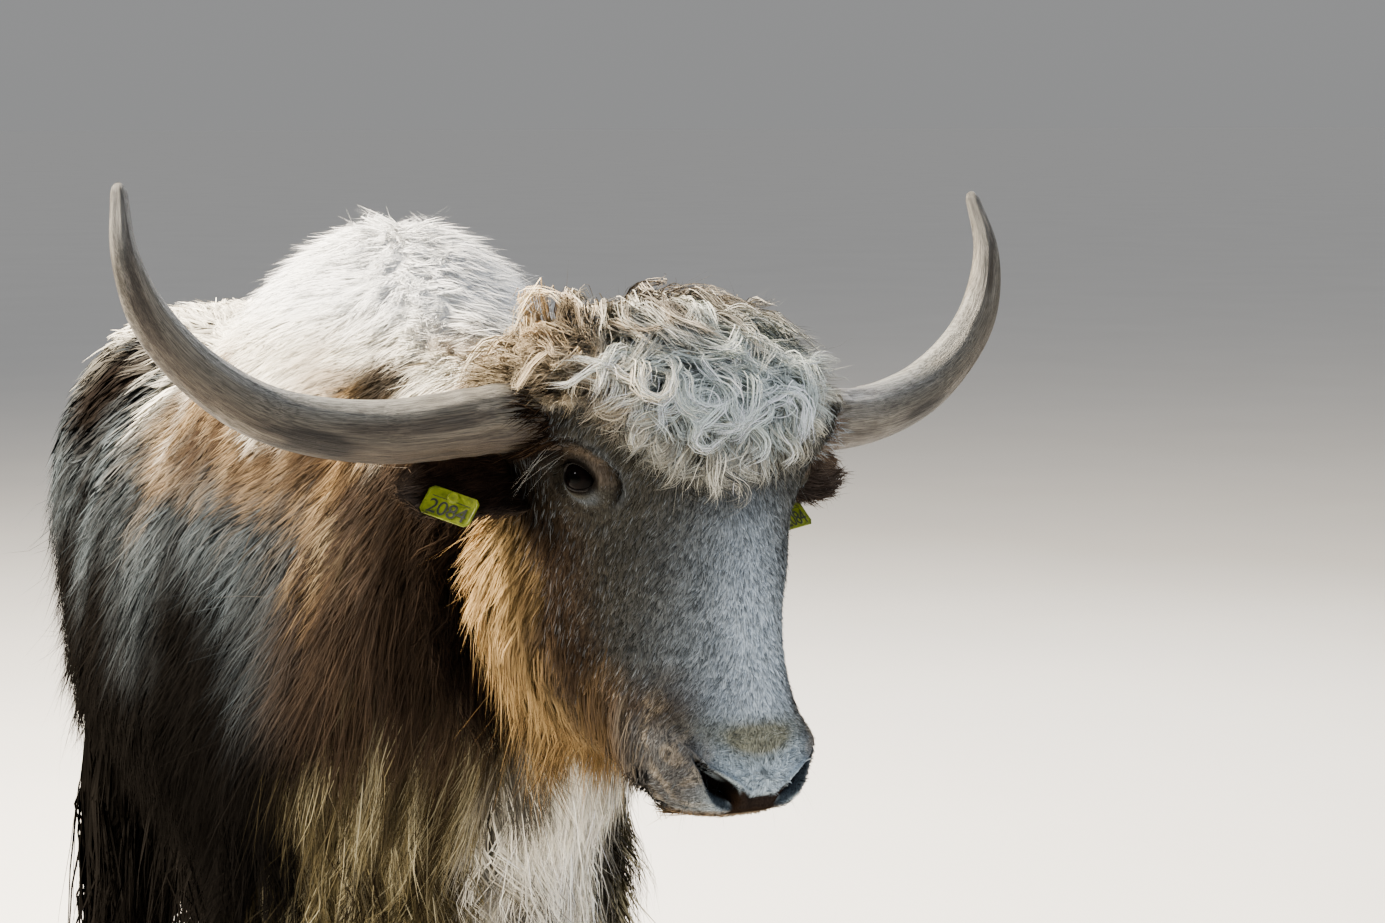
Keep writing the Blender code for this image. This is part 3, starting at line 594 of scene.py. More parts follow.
def head_markings(q):
    """A taupe face with a roan blaze, golden cheeks, dark round the eyes and nostrils, a pale poll, with
    painted sky sheen, sunlight and shade.
    """
    x, y, up = q.T
    ax = np.abs(x)
    wide, fine = ripple(q, 0.16, 21), ripple(q, 0.045, 22)
    shred = ripple(q * (1, 1, 0.22), 0.030, 27)
    broad = bell(x - 0.016, 0.060) * ease(0.02, -0.06, up)
    blaze = bell(x - 0.010, 0.040 + 0.12 * np.clip(-up - 0.02, 0, 0.25)) * ease(0.0, -0.14, up)
    low = np.clip(-0.13 - up, 0, 0.14)
    cheek = ease(0.078, 0.150, y + 0.02 * wide + 0.05 * low + 0.020 * shred) * ease(-0.01, -0.07, up)
    forward = ease(0.02, 0.08, low) * ease(0.21, 0.11, y)
    before = bell(y + 0.30 * low - 0.070, 0.050) * ease(-0.02, -0.08, up)
    jaw = ease(-0.16, -0.22, up - 0.25 * np.clip(y, -0.05, 0.3)) * ease(-0.045, 0.0, y)
    sides = ease(0.035, 0.070, ax) * ease(-0.16, -0.22, up) * ease(0.06, -0.02, y)
    patch = bell(x + 0.001, 0.041) * bell(up + 0.238 - 3.0 * x * x, 0.014) * ease(0.0, -0.05, y)
    horn_shadow = ease(0.018, 0.060, y) * ease(0.20, 0.15, y) * ease(-0.095, -0.035, up)
    over = up - fringe_line(x)
    crown = ease(-0.004, 0.014, over + 0.004 * fine)
    right = ease(-0.080, -0.150, x + 0.35 * (0.10 - up) - 0.03 * wide - 0.02 * fine)
    cool_shade = 0.80 * crown * (1 - right) * ease(0.004, 0.040, over)
    root = np.sqrt((ax - 0.142) ** 2 + (y - 0.030) ** 2 + (up - 0.052) ** 2)
    across, edge = nostril_reach(q)
    return laid(TAUPE, len(q), (
        # a roan blaze down the face, its blue a painted sky sheen
        (ROAN_AND_SKY_SHEEN, (0.26 * broad + 0.48 * blaze) * ease(0.05, -0.02, y)),
        (BROWN, 0.45 * ease(0.07, 0.115, ax) * ease(0.0, 0.05, y) * ease(0.0, -0.05, up)),
        # cheeks and jaw, gold behind and less so forward along the jaw; the gold is partly painted sunlight,
        # and the brown in front of it partly painted shade
        (GOLD, 0.88 * cheek * (1 - 0.60 * forward)),
        (TAN, 0.55 * cheek * ease(0.0, 0.8, ripple(q * (1, 1, 0.30), 0.07, 23))),
        (UMBER, 0.70 * ease(0.20, 0.8, ripple(q * (1, 1, 0.25), 0.055, 24)) * cheek),
        (BROWN, 0.75 * before * (1 - 0.6 * cheek)),
        (UMBER, 0.50 * before * ease(-0.3, 0.5, shred)),
        (TAN, 0.38 * jaw * ease(-0.4, 0.6, ripple(q * (1, 1, 0.22), 0.022, 28))),
        # muzzle: pale grey over the nose with a painted blue sky sheen, warmer at the lips
        (MUZZLE_GREY_AND_SKY_SHEEN, 0.75 * ease(-0.205, -0.240, up) * ease(0.02, -0.04, y)),
        (BROWN, 0.80 * sides),
        (FAWN, 0.10 * sides * ease(0.0, 0.8, ripple(q * (1, 1, 0.35), 0.014, 25))),
        (OLIVE, np.clip(1.3 * patch, 0, 0.72)),
        (TAN, 0.80 * ease(-0.299, -0.307, up)),
        # painted shadow: the temple's dark hair under the horn is darkened nearly to black
        (UMBER, 0.88 * horn_shadow),
        *eye_layers(q, 1, fine),
        *eye_layers(q, -1, fine),
        # forelock and poll: white in front, cooled to green-white there as painted shade, tan over the right
        # horn, ash-brown on top, yellowed ends
        (CREAM, 0.94 * crown),
        (COOL_SHADED_WHITE, cool_shade * ease(0.165, 0.125, up + 0.02 * fine)),
        (YELLOWED, 0.55 * crown * ease(0.036, 0.004, over + 0.012 * fine)),
        (FAWN, 0.80 * crown * right),
        (BROWN, 0.35 * crown * ease(0.115, 0.085, up) * ease(-0.11, -0.16, x)),
        (BROWN, 0.35 * crown * ease(0.0, 0.6, fine + wide) * ease(-0.09, -0.15, x)),
        (TAN, 0.55 * crown * ease(0.105, 0.140, up) * ease(-0.4, 0.5, ripple(q, 0.07, 26))),
        (ASH, 0.35 * crown * ease(0.110, 0.145, up) * ease(-0.10, 0.02, x)),
        (BROWN, 0.75 * crown * ease(0.115, 0.150, up) * ease(0.0, 0.7, ripple(q, 0.05, 29))),
        # dark hair round the horns' roots, and behind the horns the neck's tan
        (UMBER, np.where(x < 0, 0.82, 0.30) * ease(0.055, 0.030, root + 0.008 * fine)),
        (TAN, 0.7 * ease(0.12, 0.19, y) * ease(-0.06, 0.0, up)),
        # bare dark skin in and between the nostrils, the flap under each a slate grey
        (UMBER, 0.45 * (across > 0) * ease(1.55, 1.05, edge)),
        (BARE, np.where(across > 0, ease(1.05, 0.62, edge), ease(1.16, 0.98, edge))),
        (FLAP, 0.92 * ease(0.0, 0.35, across) * ease(0.30, 0.75, edge) * ease(1.30, 1.02, edge)),
        (NOSE_PAD, 0.99 * nose_strip(q)),
        (BARE, 0.75 * bell(x, 0.005) * bell(up + 0.268, 0.005) * ease(0.0, -0.05, y)),
        (UMBER, 0.7 * mouth_line(y, up)),
    ))


def ear_markings(q, side):
    """Brown-black inside and along the back, grey at the rim."""
    along = np.clip((side * q[:, 0] - EAR_BASE[0]) / (EAR_TIP[0] - EAR_BASE[0]), 0, 1)
    rim = np.abs(q[:, 2] + 0.006) / EAR_HALF_BREADTH
    fringe = np.clip(ease(0.6, 1.0, rim) + ease(0.85, 1.0, along), 0, 1)
    # the right ear's darker base is partly painted shade from the horn
    return laid(EAR_DARK if side < 0 else 0.5 * (EAR_DARK + EAR_GREY), len(q), (
        (EAR_GREY, 0.6 * fringe),
        (BROWN, 0.5 * ease(0.12, 0.02, along)),
    ))


# ------------------------------------------------------------------ the head's skin
def nostril_reach(q):
    """Places round the nearer nostril: across it, and 1 at its edge."""
    side = np.where(q[:, 0] >= 0, 1.0, -1.0)
    run = unit(np.array(NOSTRIL_RUNS))
    local = q * np.stack([side, np.ones_like(side), np.ones_like(side)], 1) - NOSTRIL_MIDDLE
    along = local @ run / NOSTRIL_HALF_LENGTH
    over = np.cross(run, (0.0, 1.0, 0.0))
    across = local @ over - 0.0030 * (1 - along ** 2) + 0.0010
    half = NOSTRIL_HALF_WIDTH * (0.34 + 0.66 * ease(-0.9, 0.5, along))
    edge = np.sqrt(along ** 2 + (across / half) ** 2 + (np.clip(local[:, 1] - 0.03, 0, 1) / 0.01) ** 2)
    return across / half, edge


def mouth_line(y, up):
    """1 on the line between the lips, which rises to its corner."""
    height = -0.3065 + 0.024 * ease(-0.070, 0.020, y)
    return bell(up - height, 0.0024) * ease(0.01, -0.02, y)


def nose_strip(q):
    """The bare strip between the nostrils, under the point of the haired nose."""
    ax, up = np.abs(q[:, 0]), q[:, 2]
    point = -0.2890 + 0.85 * np.maximum(ax - 0.0135, 0.0)
    front = ease(-0.05, -0.07, q[:, 1])
    return ease(0.030, 0.022, ax) * ease(0.0012, -0.0026, up - point) * ease(-0.3095, -0.3070, up) * front


def fringe_line(x):
    """How low the forelock hangs: to between the eyes in the middle, above the brows at the sides."""
    return -0.007 + np.minimum(4.5 * (x + 0.018) ** 2, 0.072)


def coat_depth_head(x, y, up):
    """How far the hair stands over the skin of the head."""
    crown = ease(0.000, 0.030, up - fringe_line(x))
    depth = 0.0028 + 0.011 * ease(0.04, 0.13, y) * ease(0.03, -0.03, up)
    depth = depth + 0.009 * ease(-0.14, -0.22, up) * ease(-0.03, 0.05, y)
    depth = depth + (0.013 + 0.030 * ease(0.04, 0.12, up)) * crown * (1 - 0.25 * ease(0.12, 0.19, y))
    return depth + 0.012 * ease(0.10, 0.18, y) * (1 - crown)


def head_relief(x, y, up, front_side):
    """How far the bones and the hair masses lift the head's plain slices, outwards."""
    ax = np.abs(x)
    front = ease(0.0, 0.5, front_side)
    lift = 0.010 * bell(up - 0.038, 0.020) * bell(ax - 0.112, 0.040) * bell(y + 0.010, 0.045)
    lift = lift - 0.013 * bell(up + 0.001, 0.024) * bell(ax - 0.130, 0.040) * bell(y - 0.002, 0.030)
    lift = lift + 0.006 * bell(up + 0.070, 0.045) * bell(ax - 0.090, 0.030) * bell(y + 0.030, 0.050)
    fringe = ease(-0.006, 0.022, up - 0.55 * np.maximum(ax - 0.045, 0.0)) * (1 - ease(0.100, 0.170, up))
    lift = lift + 0.014 * fringe * front * (1 - 0.6 * ease(0.10, 0.15, ax))
    return lift + 0.006 * bell(up + 0.245, 0.020) * bell(ax - 0.070, 0.024) * front


def head_outline(up, angle):
    """Points on the head's slices, moved in by the coat's depth."""
    table = np.array(HEAD_SLICES)
    front, widest, back, half, front_round, back_round = (
        smooth_read(table[:, 0], table[:, k], up) for k in range(1, 7))
    c, s = np.cos(angle), np.sin(angle)
    facing = c >= 0
    power = 2.0 / np.where(facing, front_round, back_round)
    reach = np.where(facing, front - widest, widest - back)
    x = half * np.sign(s) * np.abs(s) ** power
    y = widest + reach * np.sign(c) * np.abs(c) ** power
    normal = unit(np.stack([s / half, c / reach], 1))
    lift = head_relief(x, y, up, c) - coat_depth_head(x, y, up)
    return np.stack([x + lift * normal[:, 0], y + lift * normal[:, 1], up], 1)


def eye_axes(side):
    """An eyeball's middle, where it looks, and the long and the short way of the opening."""
    eye = np.array(EYE_CENTRE) * (side, 1, 1)
    looks = unit(np.array(EYE_LOOKS) * (side, 1, 1))
    ahead = side * unit(np.cross(looks, (0.0, 0.0, 1.0)))
    rise = side * np.cross(ahead, looks)
    c, s = math.cos(math.radians(EYE_SLANT)), math.sin(math.radians(EYE_SLANT))
    return eye, looks, ahead * c - rise * s, rise * c + ahead * s


def eye_reach(q, side):
    """Places round an eye: along and across the opening, outwards, 1 at the lids' edge, the distance."""
    eye, looks, ahead, rise = eye_axes(side)
    rel = q - eye
    a, b = rel @ ahead, rel @ rise
    opening = np.hypot(a / LID_HALF_LENGTH, b / LID_HALF_HEIGHT)
    return a, b, rel @ looks, opening, np.linalg.norm(rel, axis=1)


def shape_eyes(q):
    """Lids that wrap the eyeballs, the full upper lid with its fold, and the brow over it."""
    for side in (1, -1):
        a, b, out, opening, distance = eye_reach(q, side)
        _, looks, _, _ = eye_axes(side)
        flat = np.hypot(a, b)
        core = np.minimum(flat, EYE_RADIUS * 0.86)
        ball = np.sqrt(EYE_RADIUS ** 2 - core ** 2) - 1.2 * (flat - core)
        lid = ball + np.where(b > 0, 0.0040, 0.0026) * ease(0.96, 1.14, opening)
        # the fold runs over the eye and down in front of it
        over = ease(-0.55, 0.25, (b + 0.35 * a) / np.maximum(flat, 1e-4))
        blend = ease(1.45, 2.70, opening)
        target = lid * (1 - blend) + out * blend
        fold = 0.0058 * bell(flat - 0.0240, 0.0078) - 0.0055 * bell(flat - 0.0345, 0.0028)
        target = target + over * (fold + 0.0030 * bell(flat - 0.0415, 0.0060))
        target = target - (1 - over) * 0.0016 * bell(flat - 0.0310, 0.0030)
        target = np.where(opening < 0.96, ball - 0.006, target)
        near = (distance < 0.062) & (out > -0.014)
        q = np.where(near[:, None], q + (target - out)[:, None] * looks, q)
    return q


def shape_muzzle(q):
    """Nostrils with swollen rims, the groove under the nose, and the lips."""
    across, edge = nostril_reach(q)
    front = ease(-0.03, -0.06, q[:, 1])
    pit = np.where(across > 0, ease(1.25, 0.05, edge), ease(1.0, 0.62, edge)) * front
    rim = bell(edge - 1.30, 0.26) * front * np.where(across > 0, 0.45, 1.25)
    q = q + (pit * NOSTRIL_DEPTH)[:, None] * np.array((0.0, 1.0, 0.22))
    q = q + (rim * 0.0034)[:, None] * np.array((0.0, -1.0, 0.0))
    q = q + (nose_strip(q) * 0.0042)[:, None] * np.array((0.0, 1.0, 0.0))
    x, y, up = q.T
    groove = mouth_line(y, up)
    inward = unit(np.stack([-x, 0.02 - y, np.zeros_like(x)], 1))
    return q + (0.0040 * groove)[:, None] * inward


def head_spot(turn, run):
    """Where a point of the head's grid lies in the row's frame."""
    way = np.sign(turn - 0.5) * np.interp(np.abs(turn - 0.5) * 2, COLUMN_SHARES, COLUMN_DEGREES)
    up = np.interp(run, RING_RUNS, RING_HEIGHTS)
    q = head_outline(up, np.radians(way))
    # the two ends close as low domes
    ends = ((run < RING_RUNS[0], 0.0, RING_RUNS[0], 0.012, 0.066),
            (run > RING_RUNS[-1], 1.0, 1 - RING_RUNS[-1], -0.012, -0.045))
    for inside, first, span, height, middle in ends:
        phase = np.clip(np.abs(run - first) / span, 0, 1) * math.pi / 2
        spread = np.sin(phase)
        shut = np.stack([q[:, 0] * spread, middle + (q[:, 1] - middle) * spread,
                         q[:, 2] + height * np.cos(phase)], 1)
        q = np.where(inside[:, None], shut, q)
    # under the thick poll hair the skull is lower
    q[:, 2] -= 0.038 * ease(0.055, 0.175, q[:, 2])
    return from_head(shape_muzzle(shape_eyes(q)))


def ear_spot(side):
    """The place function of an ear: a cupped leaf that narrows to its tip."""
    base, tip = np.array(EAR_BASE), np.array(EAR_TIP)
    length = np.linalg.norm(tip - base)
    along = (tip - base) / length
    facing = np.array(EAR_FACES)
    facing = unit(facing - facing @ along * along)
    breadth = np.cross(facing, along)

    def spot(turn, run):
        swell = np.where(run < 0.55, 0.55 + 0.45 * np.sin(math.pi * np.minimum(1.0, run * 1.15 + 0.12)), 1.0)
        swell = swell * np.sqrt(np.maximum(0.0, 1 - np.maximum(0.0, (run - 0.55) / 0.45) ** 2.2))
        swell = swell * ease(-0.02, 0.02, run)
        wide = EAR_HALF_BREADTH * swell
        thick = EAR_HALF_THICKNESS * (0.5 + 0.5 * (1 - run)) * np.minimum(1.0, swell * 2)
        u, v = np.cos(turn * 2 * math.pi), np.sin(turn * 2 * math.pi)
        bend = EAR_CUP * swell * (u ** 2 - 0.5)
        q = base + along * (run * length)[:, None] + breadth * (wide * u)[:, None]
        q = q + facing * (thick * v + bend)[:, None]
        return from_head(q * (side, 1, 1))

    return spot


# ------------------------------------------------------------------ the body's skin
def coat_depth_body(p):
    """How far the coat stands over the skin of the trunk and neck."""
    y, z = p[:, 1], p[:, 2]
    depth = 0.026 + 0.016 * ease(1.05, 0.80, z) - 0.010 * ease(1.10, 1.20, z)
    depth = depth + 0.016 * ease(-0.40, -0.65, y)
    return depth + 0.020 * ease(-0.35, -0.55, y) * ease(0.85, 0.65, z)


def merged_copy(name, nodes):
    """One object with the solids of several nodes."""
    bm = bmesh.new()
    for node in nodes:
        bm.from_mesh(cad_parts[node].data)
    bmesh.ops.remove_doubles(bm, verts=bm.verts, dist=1e-5)
    return from_bmesh(name, bm)


def add_ball(bm, middle, radii, lean=0.0):
    shape = Matrix.Translation(middle) @ Matrix.Rotation(math.radians(lean), 4, "X")
    bmesh.ops.create_uvsphere(bm, u_segments=24, v_segments=16, radius=1.0,
                              matrix=shape @ Matrix.Diagonal((*radii, 1.0)))


def add_limbs(bm):
    """Forearms, thighs and gaskins, which the coat's skirt hides."""
    for side in (1, -1):
        x = MIDLINE + side * 0.135
        step = {1: -0.035, -1: 0.020}[side]
        add_ball(bm, (x, -0.385, 0.62), (0.075, 0.115, 0.25), 4)
        add_ball(bm, (x + side * 0.010, -0.402 + step * 0.3, 0.47), (0.062, 0.080, 0.13))
        step = {1: 0.025, -1: -0.035}[side]
        add_ball(bm, (x, 0.760, 0.74), (0.095, 0.170, 0.26), -8)
        add_ball(bm, (x + side * 0.010, 0.810 + step * 0.3, 0.56), (0.064, 0.105, 0.17), -16)


def slimmer_legs(bm):
    """The legs below the skirt, moved in by their short hair and ending inside the hooves."""
    for place in ("front", "hind"):
        for label in ("left", "right"):
            copy = merged_copy("leg_core", [f"leg_{place}_{label}"])
            mesh = copy.data
            spots = spots_of(mesh) - normals_of(mesh) * LEG_HAIR
            spots[:, 2] = np.maximum(spots[:, 2] - 0.020 * ease(0.085, 0.062, spots[:, 2]), 0.020)
            move_spots(mesh, spots)
            bm.from_mesh(mesh)
            bpy.data.objects.remove(copy)


def dock(bm):
    """The flesh of the tail, a taper down the middle of its brush."""
    table = np.array(TAIL_BRUSH)
    for height in np.linspace(DOCK_TOP, DOCK_END, 18):
        middle = smooth_read(table[:, 0], table[:, 1], height)
        radius = np.interp(height, (DOCK_END, DOCK_TOP), (0.014, 0.034))
        add_ball(bm, (MIDLINE, middle, height), (radius, radius, 0.030))


def body_skin():
    """Trunk, neck, legs and dock as one skin, moved in by the coat's depth."""
    core = voxelled(merged_copy("core", ["trunk", "neck"]), BODY_VOXEL, 8)
    spots = spots_of(core.data)
    spots = spots - normals_of(core.data) * coat_depth_body(spots)[:, None]
    # the skirt hangs far below the belly and the brisket
    belly = BELLY_TOP - (BELLY_TOP - spots[:, 2]) * BELLY_RISE
    spots[:, 2] = np.where(spots[:, 2] < BELLY_TOP, belly, spots[:, 2])
    tuck = 1 - 0.16 * ease(BELLY_TOP, 0.55, spots[:, 2])
    spots[:, 0] = MIDLINE + (spots[:, 0] - MIDLINE) * tuck
    move_spots(core.data, spots)
    bm = bmesh.new()
    bm.from_mesh(core.data)
    add_limbs(bm)
    slimmer_legs(bm)
    dock(bm)
    bpy.data.objects.remove(core)
    return voxelled(from_bmesh("skin", bm), BODY_VOXEL, 6)


class Shell:
    """One part of the skin as arrays, to root hair on."""

    def __init__(self, obj):
        self.spots = spots_of(obj.data)
        self.normals = normals_of(obj.data)
        self.triangles = triangles_of(obj.data)
        corners = self.spots[self.triangles]
        self.areas = np.linalg.norm(np.cross(corners[:, 1] - corners[:, 0], corners[:, 2] - corners[:, 0]),
                                    axis=1) / 2
        self.middles = corners.mean(axis=1)

    def scatter(self, weights, count):
        """Roots spread over the faces, as thick as the weights say."""
        share = self.areas * weights
        if share.sum() <= 0:
            return np.zeros((0, 3)), np.zeros((0, 3))
        picks = rng.choice(len(share), count, p=share / share.sum())
        u, v = rng.random(count), rng.random(count)
        over = u + v > 1
        u, v = np.where(over, 1 - u, u), np.where(over, 1 - v, v)
        bary = np.stack([1 - u - v, u, v], 1)[..., None]
        roots = (self.spots[self.triangles[picks]] * bary).sum(1)
        return roots, unit((self.normals[self.triangles[picks]] * bary).sum(1))


def make_skin():
    """The one skin of body, head and ears with its markings, and its parts to root hair on."""
    body = body_skin()
    head = rolled("head_skin", HEAD_AROUND, HEAD_ALONG, head_spot)
    ears = {side: rolled(f"ear_skin_{side}", 40, 40, ear_spot(side)) for side in (1, -1)}
    shells = {"body": Shell(body), "head": Shell(head)}
    shells.update(ear_left=Shell(ears[1]), ear_right=Shell(ears[-1]))
    for other in (head, ears[1], ears[-1]):
        united(body, other)
    mesh = body.data
    mesh.name = "skin"
    mesh.polygons.foreach_set("use_smooth", np.ones(len(mesh.polygons), dtype=bool))
    p = spots_of(mesh)
    q = to_head(p)
    tint = body_markings(p)
    # the head's own markings fade into the neck's
    on_head = ease(0.27, 0.21, q[:, 1]) * ease(-0.36, -0.33, q[:, 2])
    tint = mix(tint, head_markings(q), on_head)
    for side in (1, -1):
        out = side * q[:, 0]
        on_ear = ease(0.150, 0.165, out) * bell(q[:, 1] - 0.105, 0.05) * bell(q[:, 2] + 0.006, 0.05)
        tint = mix(tint, ear_markings(q, side), np.clip(1.5 * on_ear, 0, 1))
    # the skin lies in the coat's shade where the coat is deep
    deep = ease(0.004, 0.020, coat_depth_head(*q.T))
    deep = np.clip(deep * on_head + (1 - on_head), 0, 1)
    write_colours(mesh, tint * (1 - SKIN_SHADE * deep)[:, None])
    mesh.materials.clear()
    mesh.materials.append(skin_material())
    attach(body, "root")
    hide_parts("trunk", "neck", "head", "tail", "ear_left", "ear_right", "leg_front_left",
                "leg_front_right", "leg_hind_left", "leg_hind_right")
    return body, shells


# ------------------------------------------------------------------ the coat
SKIN, SHELLS = make_skin()
TREE = BVHTree.FromPolygons([Vector(v) for v in spots_of(SKIN.data)], triangles_of(SKIN.data).tolist())


def nearest(points):
    """The skin's nearest point and outward normal for each point."""
    spots, normals = np.empty_like(points), np.empty_like(points)
    for i, point in enumerate(points):
        spot, normal, _, _ = TREE.find_nearest(point)
        spots[i], normals[i] = spot, normal
    return spots, normals


def comb(roots, normals, reach, rise, flow, hang, stations):
    """Each guide hair's path: laid along the skin by the flow, rising to its place in the coat.

    hang goes from 0, which keeps to the skin, to 1, which falls free.
    """
    paths = np.empty((len(roots), stations, 3))
    paths[:, 0] = roots
    spot, normal = roots.copy(), normals.copy()
    for i in range(1, stations):
        share = i / (stations - 1)
        way = flow(spot, normal)
        way = unit(way - (way * normal).sum(1, keepdims=True) * normal)
        fall = (hang * share ** 0.7)[:, None]
        way = unit(way * (1 - fall) + np.array((0.0, 0.0, -1.0)) * fall)
        spot = spot + way * (reach / (stations - 1))[:, None]
        base, normal = nearest(spot)
        height = ((spot - base) * normal).sum(1)
        wanted = rise * share ** 0.75
        free = hang * ease(0.0, 0.6, share)
        push = np.where(height < wanted * 0.6, wanted * 0.6 - height, (wanted - height) * (1 - free))
        spot = spot + normal * np.clip(push, -0.03, 0.05)[:, None]
        paths[:, i] = spot
    return paths


def wave(paths, normals, size, length):
    """Bends the guides from side to side; size is the swing and length the wave's own length."""
    stations = paths.shape[1]
    along = unit(np.gradient(paths, axis=1))
    across = unit(np.cross(along, normals[:, None]))
    share = np.linspace(0, 1, stations)
    travel = np.linalg.norm(np.diff(paths, axis=1), axis=2).sum(1)[:, None] * share
    phase = rng.uniform(0, 2 * math.pi, len(paths))[:, None]
    swing = np.sin(travel / length[:, None] * 2 * math.pi + phase) * size[:, None] * ease(0, 0.35, share)
    paths = paths + across * swing[..., None]
    return paths + normals[:, None] * (0.35 * np.roll(swing, 1, axis=1))[..., None]


def blades(paths, facing, width, tint, taper=1.3, tip_light=0.10, roll=50.0, root_shade=0.50):
    """A joined mesh of flat tapering blades along the paths, turned towards their facing normals."""
    count, stations = paths.shape[:2]
    along = unit(np.gradient(paths, axis=1))
    across = unit(np.cross(facing[:, None], along))
    other = np.cross(along, across)
    spin = np.radians(rng.uniform(-roll, roll, count))[:, None, None]
    across, out = (across * np.cos(spin) + other * np.sin(spin),
                   other * np.cos(spin) - across * np.sin(spin))
    share = np.linspace(0, 1, stations)
    half = width[:, None] / 2 * (1 - 0.93 * share ** taper)
    half = (half * (0.75 + 0.25 * ease(0, 0.3, share)))[..., None]
    pairs = np.stack([(paths - across * half)[:, :-1], (paths + across * half)[:, :-1]], 2)
    points = np.concatenate([pairs.reshape(count, -1, 3), paths[:, -1:]], 1)
    per = points.shape[1]
    # the light falls on the coat as on one soft body, so a blade's normals lean to the skin's
    soft = unit(0.45 * out + 0.80 * unit(facing)[:, None] + 0.25 * unit(other))
    soft = np.concatenate([np.repeat(soft[:, :-1], 2, axis=1), soft[:, -1:]], 1)

    # painted shade: each blade is darker at its root, where the coat shades it, with painted light towards
    # its tip
    shade = root_shade + (1 - root_shade) * ease(0.0, 0.5, share) + tip_light * ease(0.5, 1.0, share)
    shade = np.concatenate([np.repeat(shade[:-1], 2), shade[-1:]])
    colours = tint[:, None] * shade[None, :, None]
    strand = np.empty((count, per, 3))
    strand[:, :-1, 0] = np.tile((0.0, 1.0), stations - 1)
    strand[:, -1, 0] = 0.5
    strand[:, :, 1] = np.concatenate([np.repeat(share[:-1], 2), [1.0]])
    strand[:, :, 2] = rng.random(count)[:, None]

    faces = []
    for j in range(0, 2 * stations - 4, 2):
        faces += [(j, j + 3, j + 1), (j, j + 2, j + 3)]
    faces.append((2 * stations - 4, 2 * stations - 2, 2 * stations - 3))
    loops = (np.arange(count)[:, None, None] * per + np.array(faces)[None]).reshape(-1, 3)
    return (points.reshape(-1, 3), loops, colours.reshape(-1, 3), strand.reshape(-1, 3),
            soft.reshape(-1, 3), per)


def unwrap_place(roots, kind):
    """A root's place from 0 to 1 each way on an unwrap of the skin: round a part's axis and along it."""
    x, y, z = from_midline(roots)
    if kind == "head":
        x, y, z = to_head(roots).T
        ring = np.hypot(x, y - 0.08)
        turn = np.arctan2(x, 0.08 - y)
        # over the poll the unwrap goes on towards the middle of the top
        run = z + np.maximum(0.18 - ring, 0.0) * ease(0.09, 0.13, z)
    elif kind == "ear":
        x, y, z = to_head(roots).T
        turn, run = np.arctan2(y - EAR_BASE[1], z + 0.006), np.abs(x)
    elif kind == "tail":
        turn, run = np.arctan2(x, y - 1.06), z
    elif kind == "leg":
        side, hind = np.where(x > 0, 1.0, -1.0), y > 0.2
        turn = np.arctan2(y - np.where(hind, 0.80, -0.40), x - side * 0.14) / 7 + side + 2.0 * hind
        run = z
    else:
        over = -1.0 if kind == "under" else 1.0
        ring = np.hypot(x, z - 0.90)
        turn = np.arctan2(x, over * (z - 0.85))
        # the rump closes the barrel behind
        run = y + np.maximum(0.35 - ring, 0.0) * ease(0.78, 0.92, y)
    both = np.stack([turn, run], 1)
    low, high = both.min(0), both.max(0)
    return 0.003 + 0.990 * (both - low) / np.maximum(high - low, 1e-6)


def coat_piece(name, parts, roots, kind, material, slot):
    """One mesh of blades with its colours, strands and bake unwrap."""
    points, loops, colours, strand, soft, per = parts
    mesh = bpy.data.meshes.new(name)
    mesh.vertices.add(len(points))
    mesh.vertices.foreach_set("co", points.astype(np.float32).ravel())
    mesh.loops.add(loops.size)
    mesh.loops.foreach_set("vertex_index", loops.astype(np.int32).ravel())
    mesh.polygons.add(len(loops))
    mesh.polygons.foreach_set("loop_start", np.arange(0, loops.size, 3, dtype=np.int32))
    mesh.polygons.foreach_set("use_smooth", np.ones(len(loops), dtype=bool))
    mesh.update(calc_edges=True)
    mesh.normals_split_custom_set_from_vertices(soft)
    write_colours(mesh, np.clip(colours, 0, 1))
    layer = mesh.attributes.new("strand", "FLOAT_VECTOR", "POINT")
    layer.data.foreach_set("vector", strand.astype(np.float32).ravel())
    spots = unwrap_place(roots, kind)
    corner = loops.ravel()
    uv = spots[corner // per] + BAKE_PATCH * (strand[corner][:, :2] - 0.5)
    bake = mesh.uv_layers.new(name="OFBake")
    bake.data.foreach_set("uv", uv.astype(np.float32).ravel())
    mesh.materials.append(material)
    obj = add_object(name, mesh)
    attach(obj, "root")


HAIR_LONG = hair_material("yak_guard_hair", 0.50)
HAIR_SHORT = hair_material("yak_face_hair", 0.58)


def body_flow(p, normal):
    """The lie of the coat: back along the back, down and back on the sides, down the chest and legs."""
    x, y, _ = from_midline(p)
    side = np.sign(x)
    way = np.stack([0.30 * side, 0.45 + 0 * x, -1.0 + 0 * x], 1)
    way[:, 1] -= 0.25 * ease(-0.45, -0.70, y)
    top = ease(0.50, 0.85, normal[:, 2])
    way = mix(way, (0.0, 0.0, -1.0), top)
    way[:, 1] += top * (0.30 * ease(-0.45, -0.25, y) + 0.35 * ease(0.0, 0.3, y))
    # hairs cross over the crest, so no parting shows
    way[:, 0] += 0.6 * top * bell(x, 0.060) * ripple(p, 0.030, 38)
    way[:, 1] += 0.30 * ripple(p, 0.30, 31) + 0.22 * ripple(p, 0.12, 32)
    way[:, 0] += 0.12 * ripple(p, 0.10, 34)
    return unit(way)


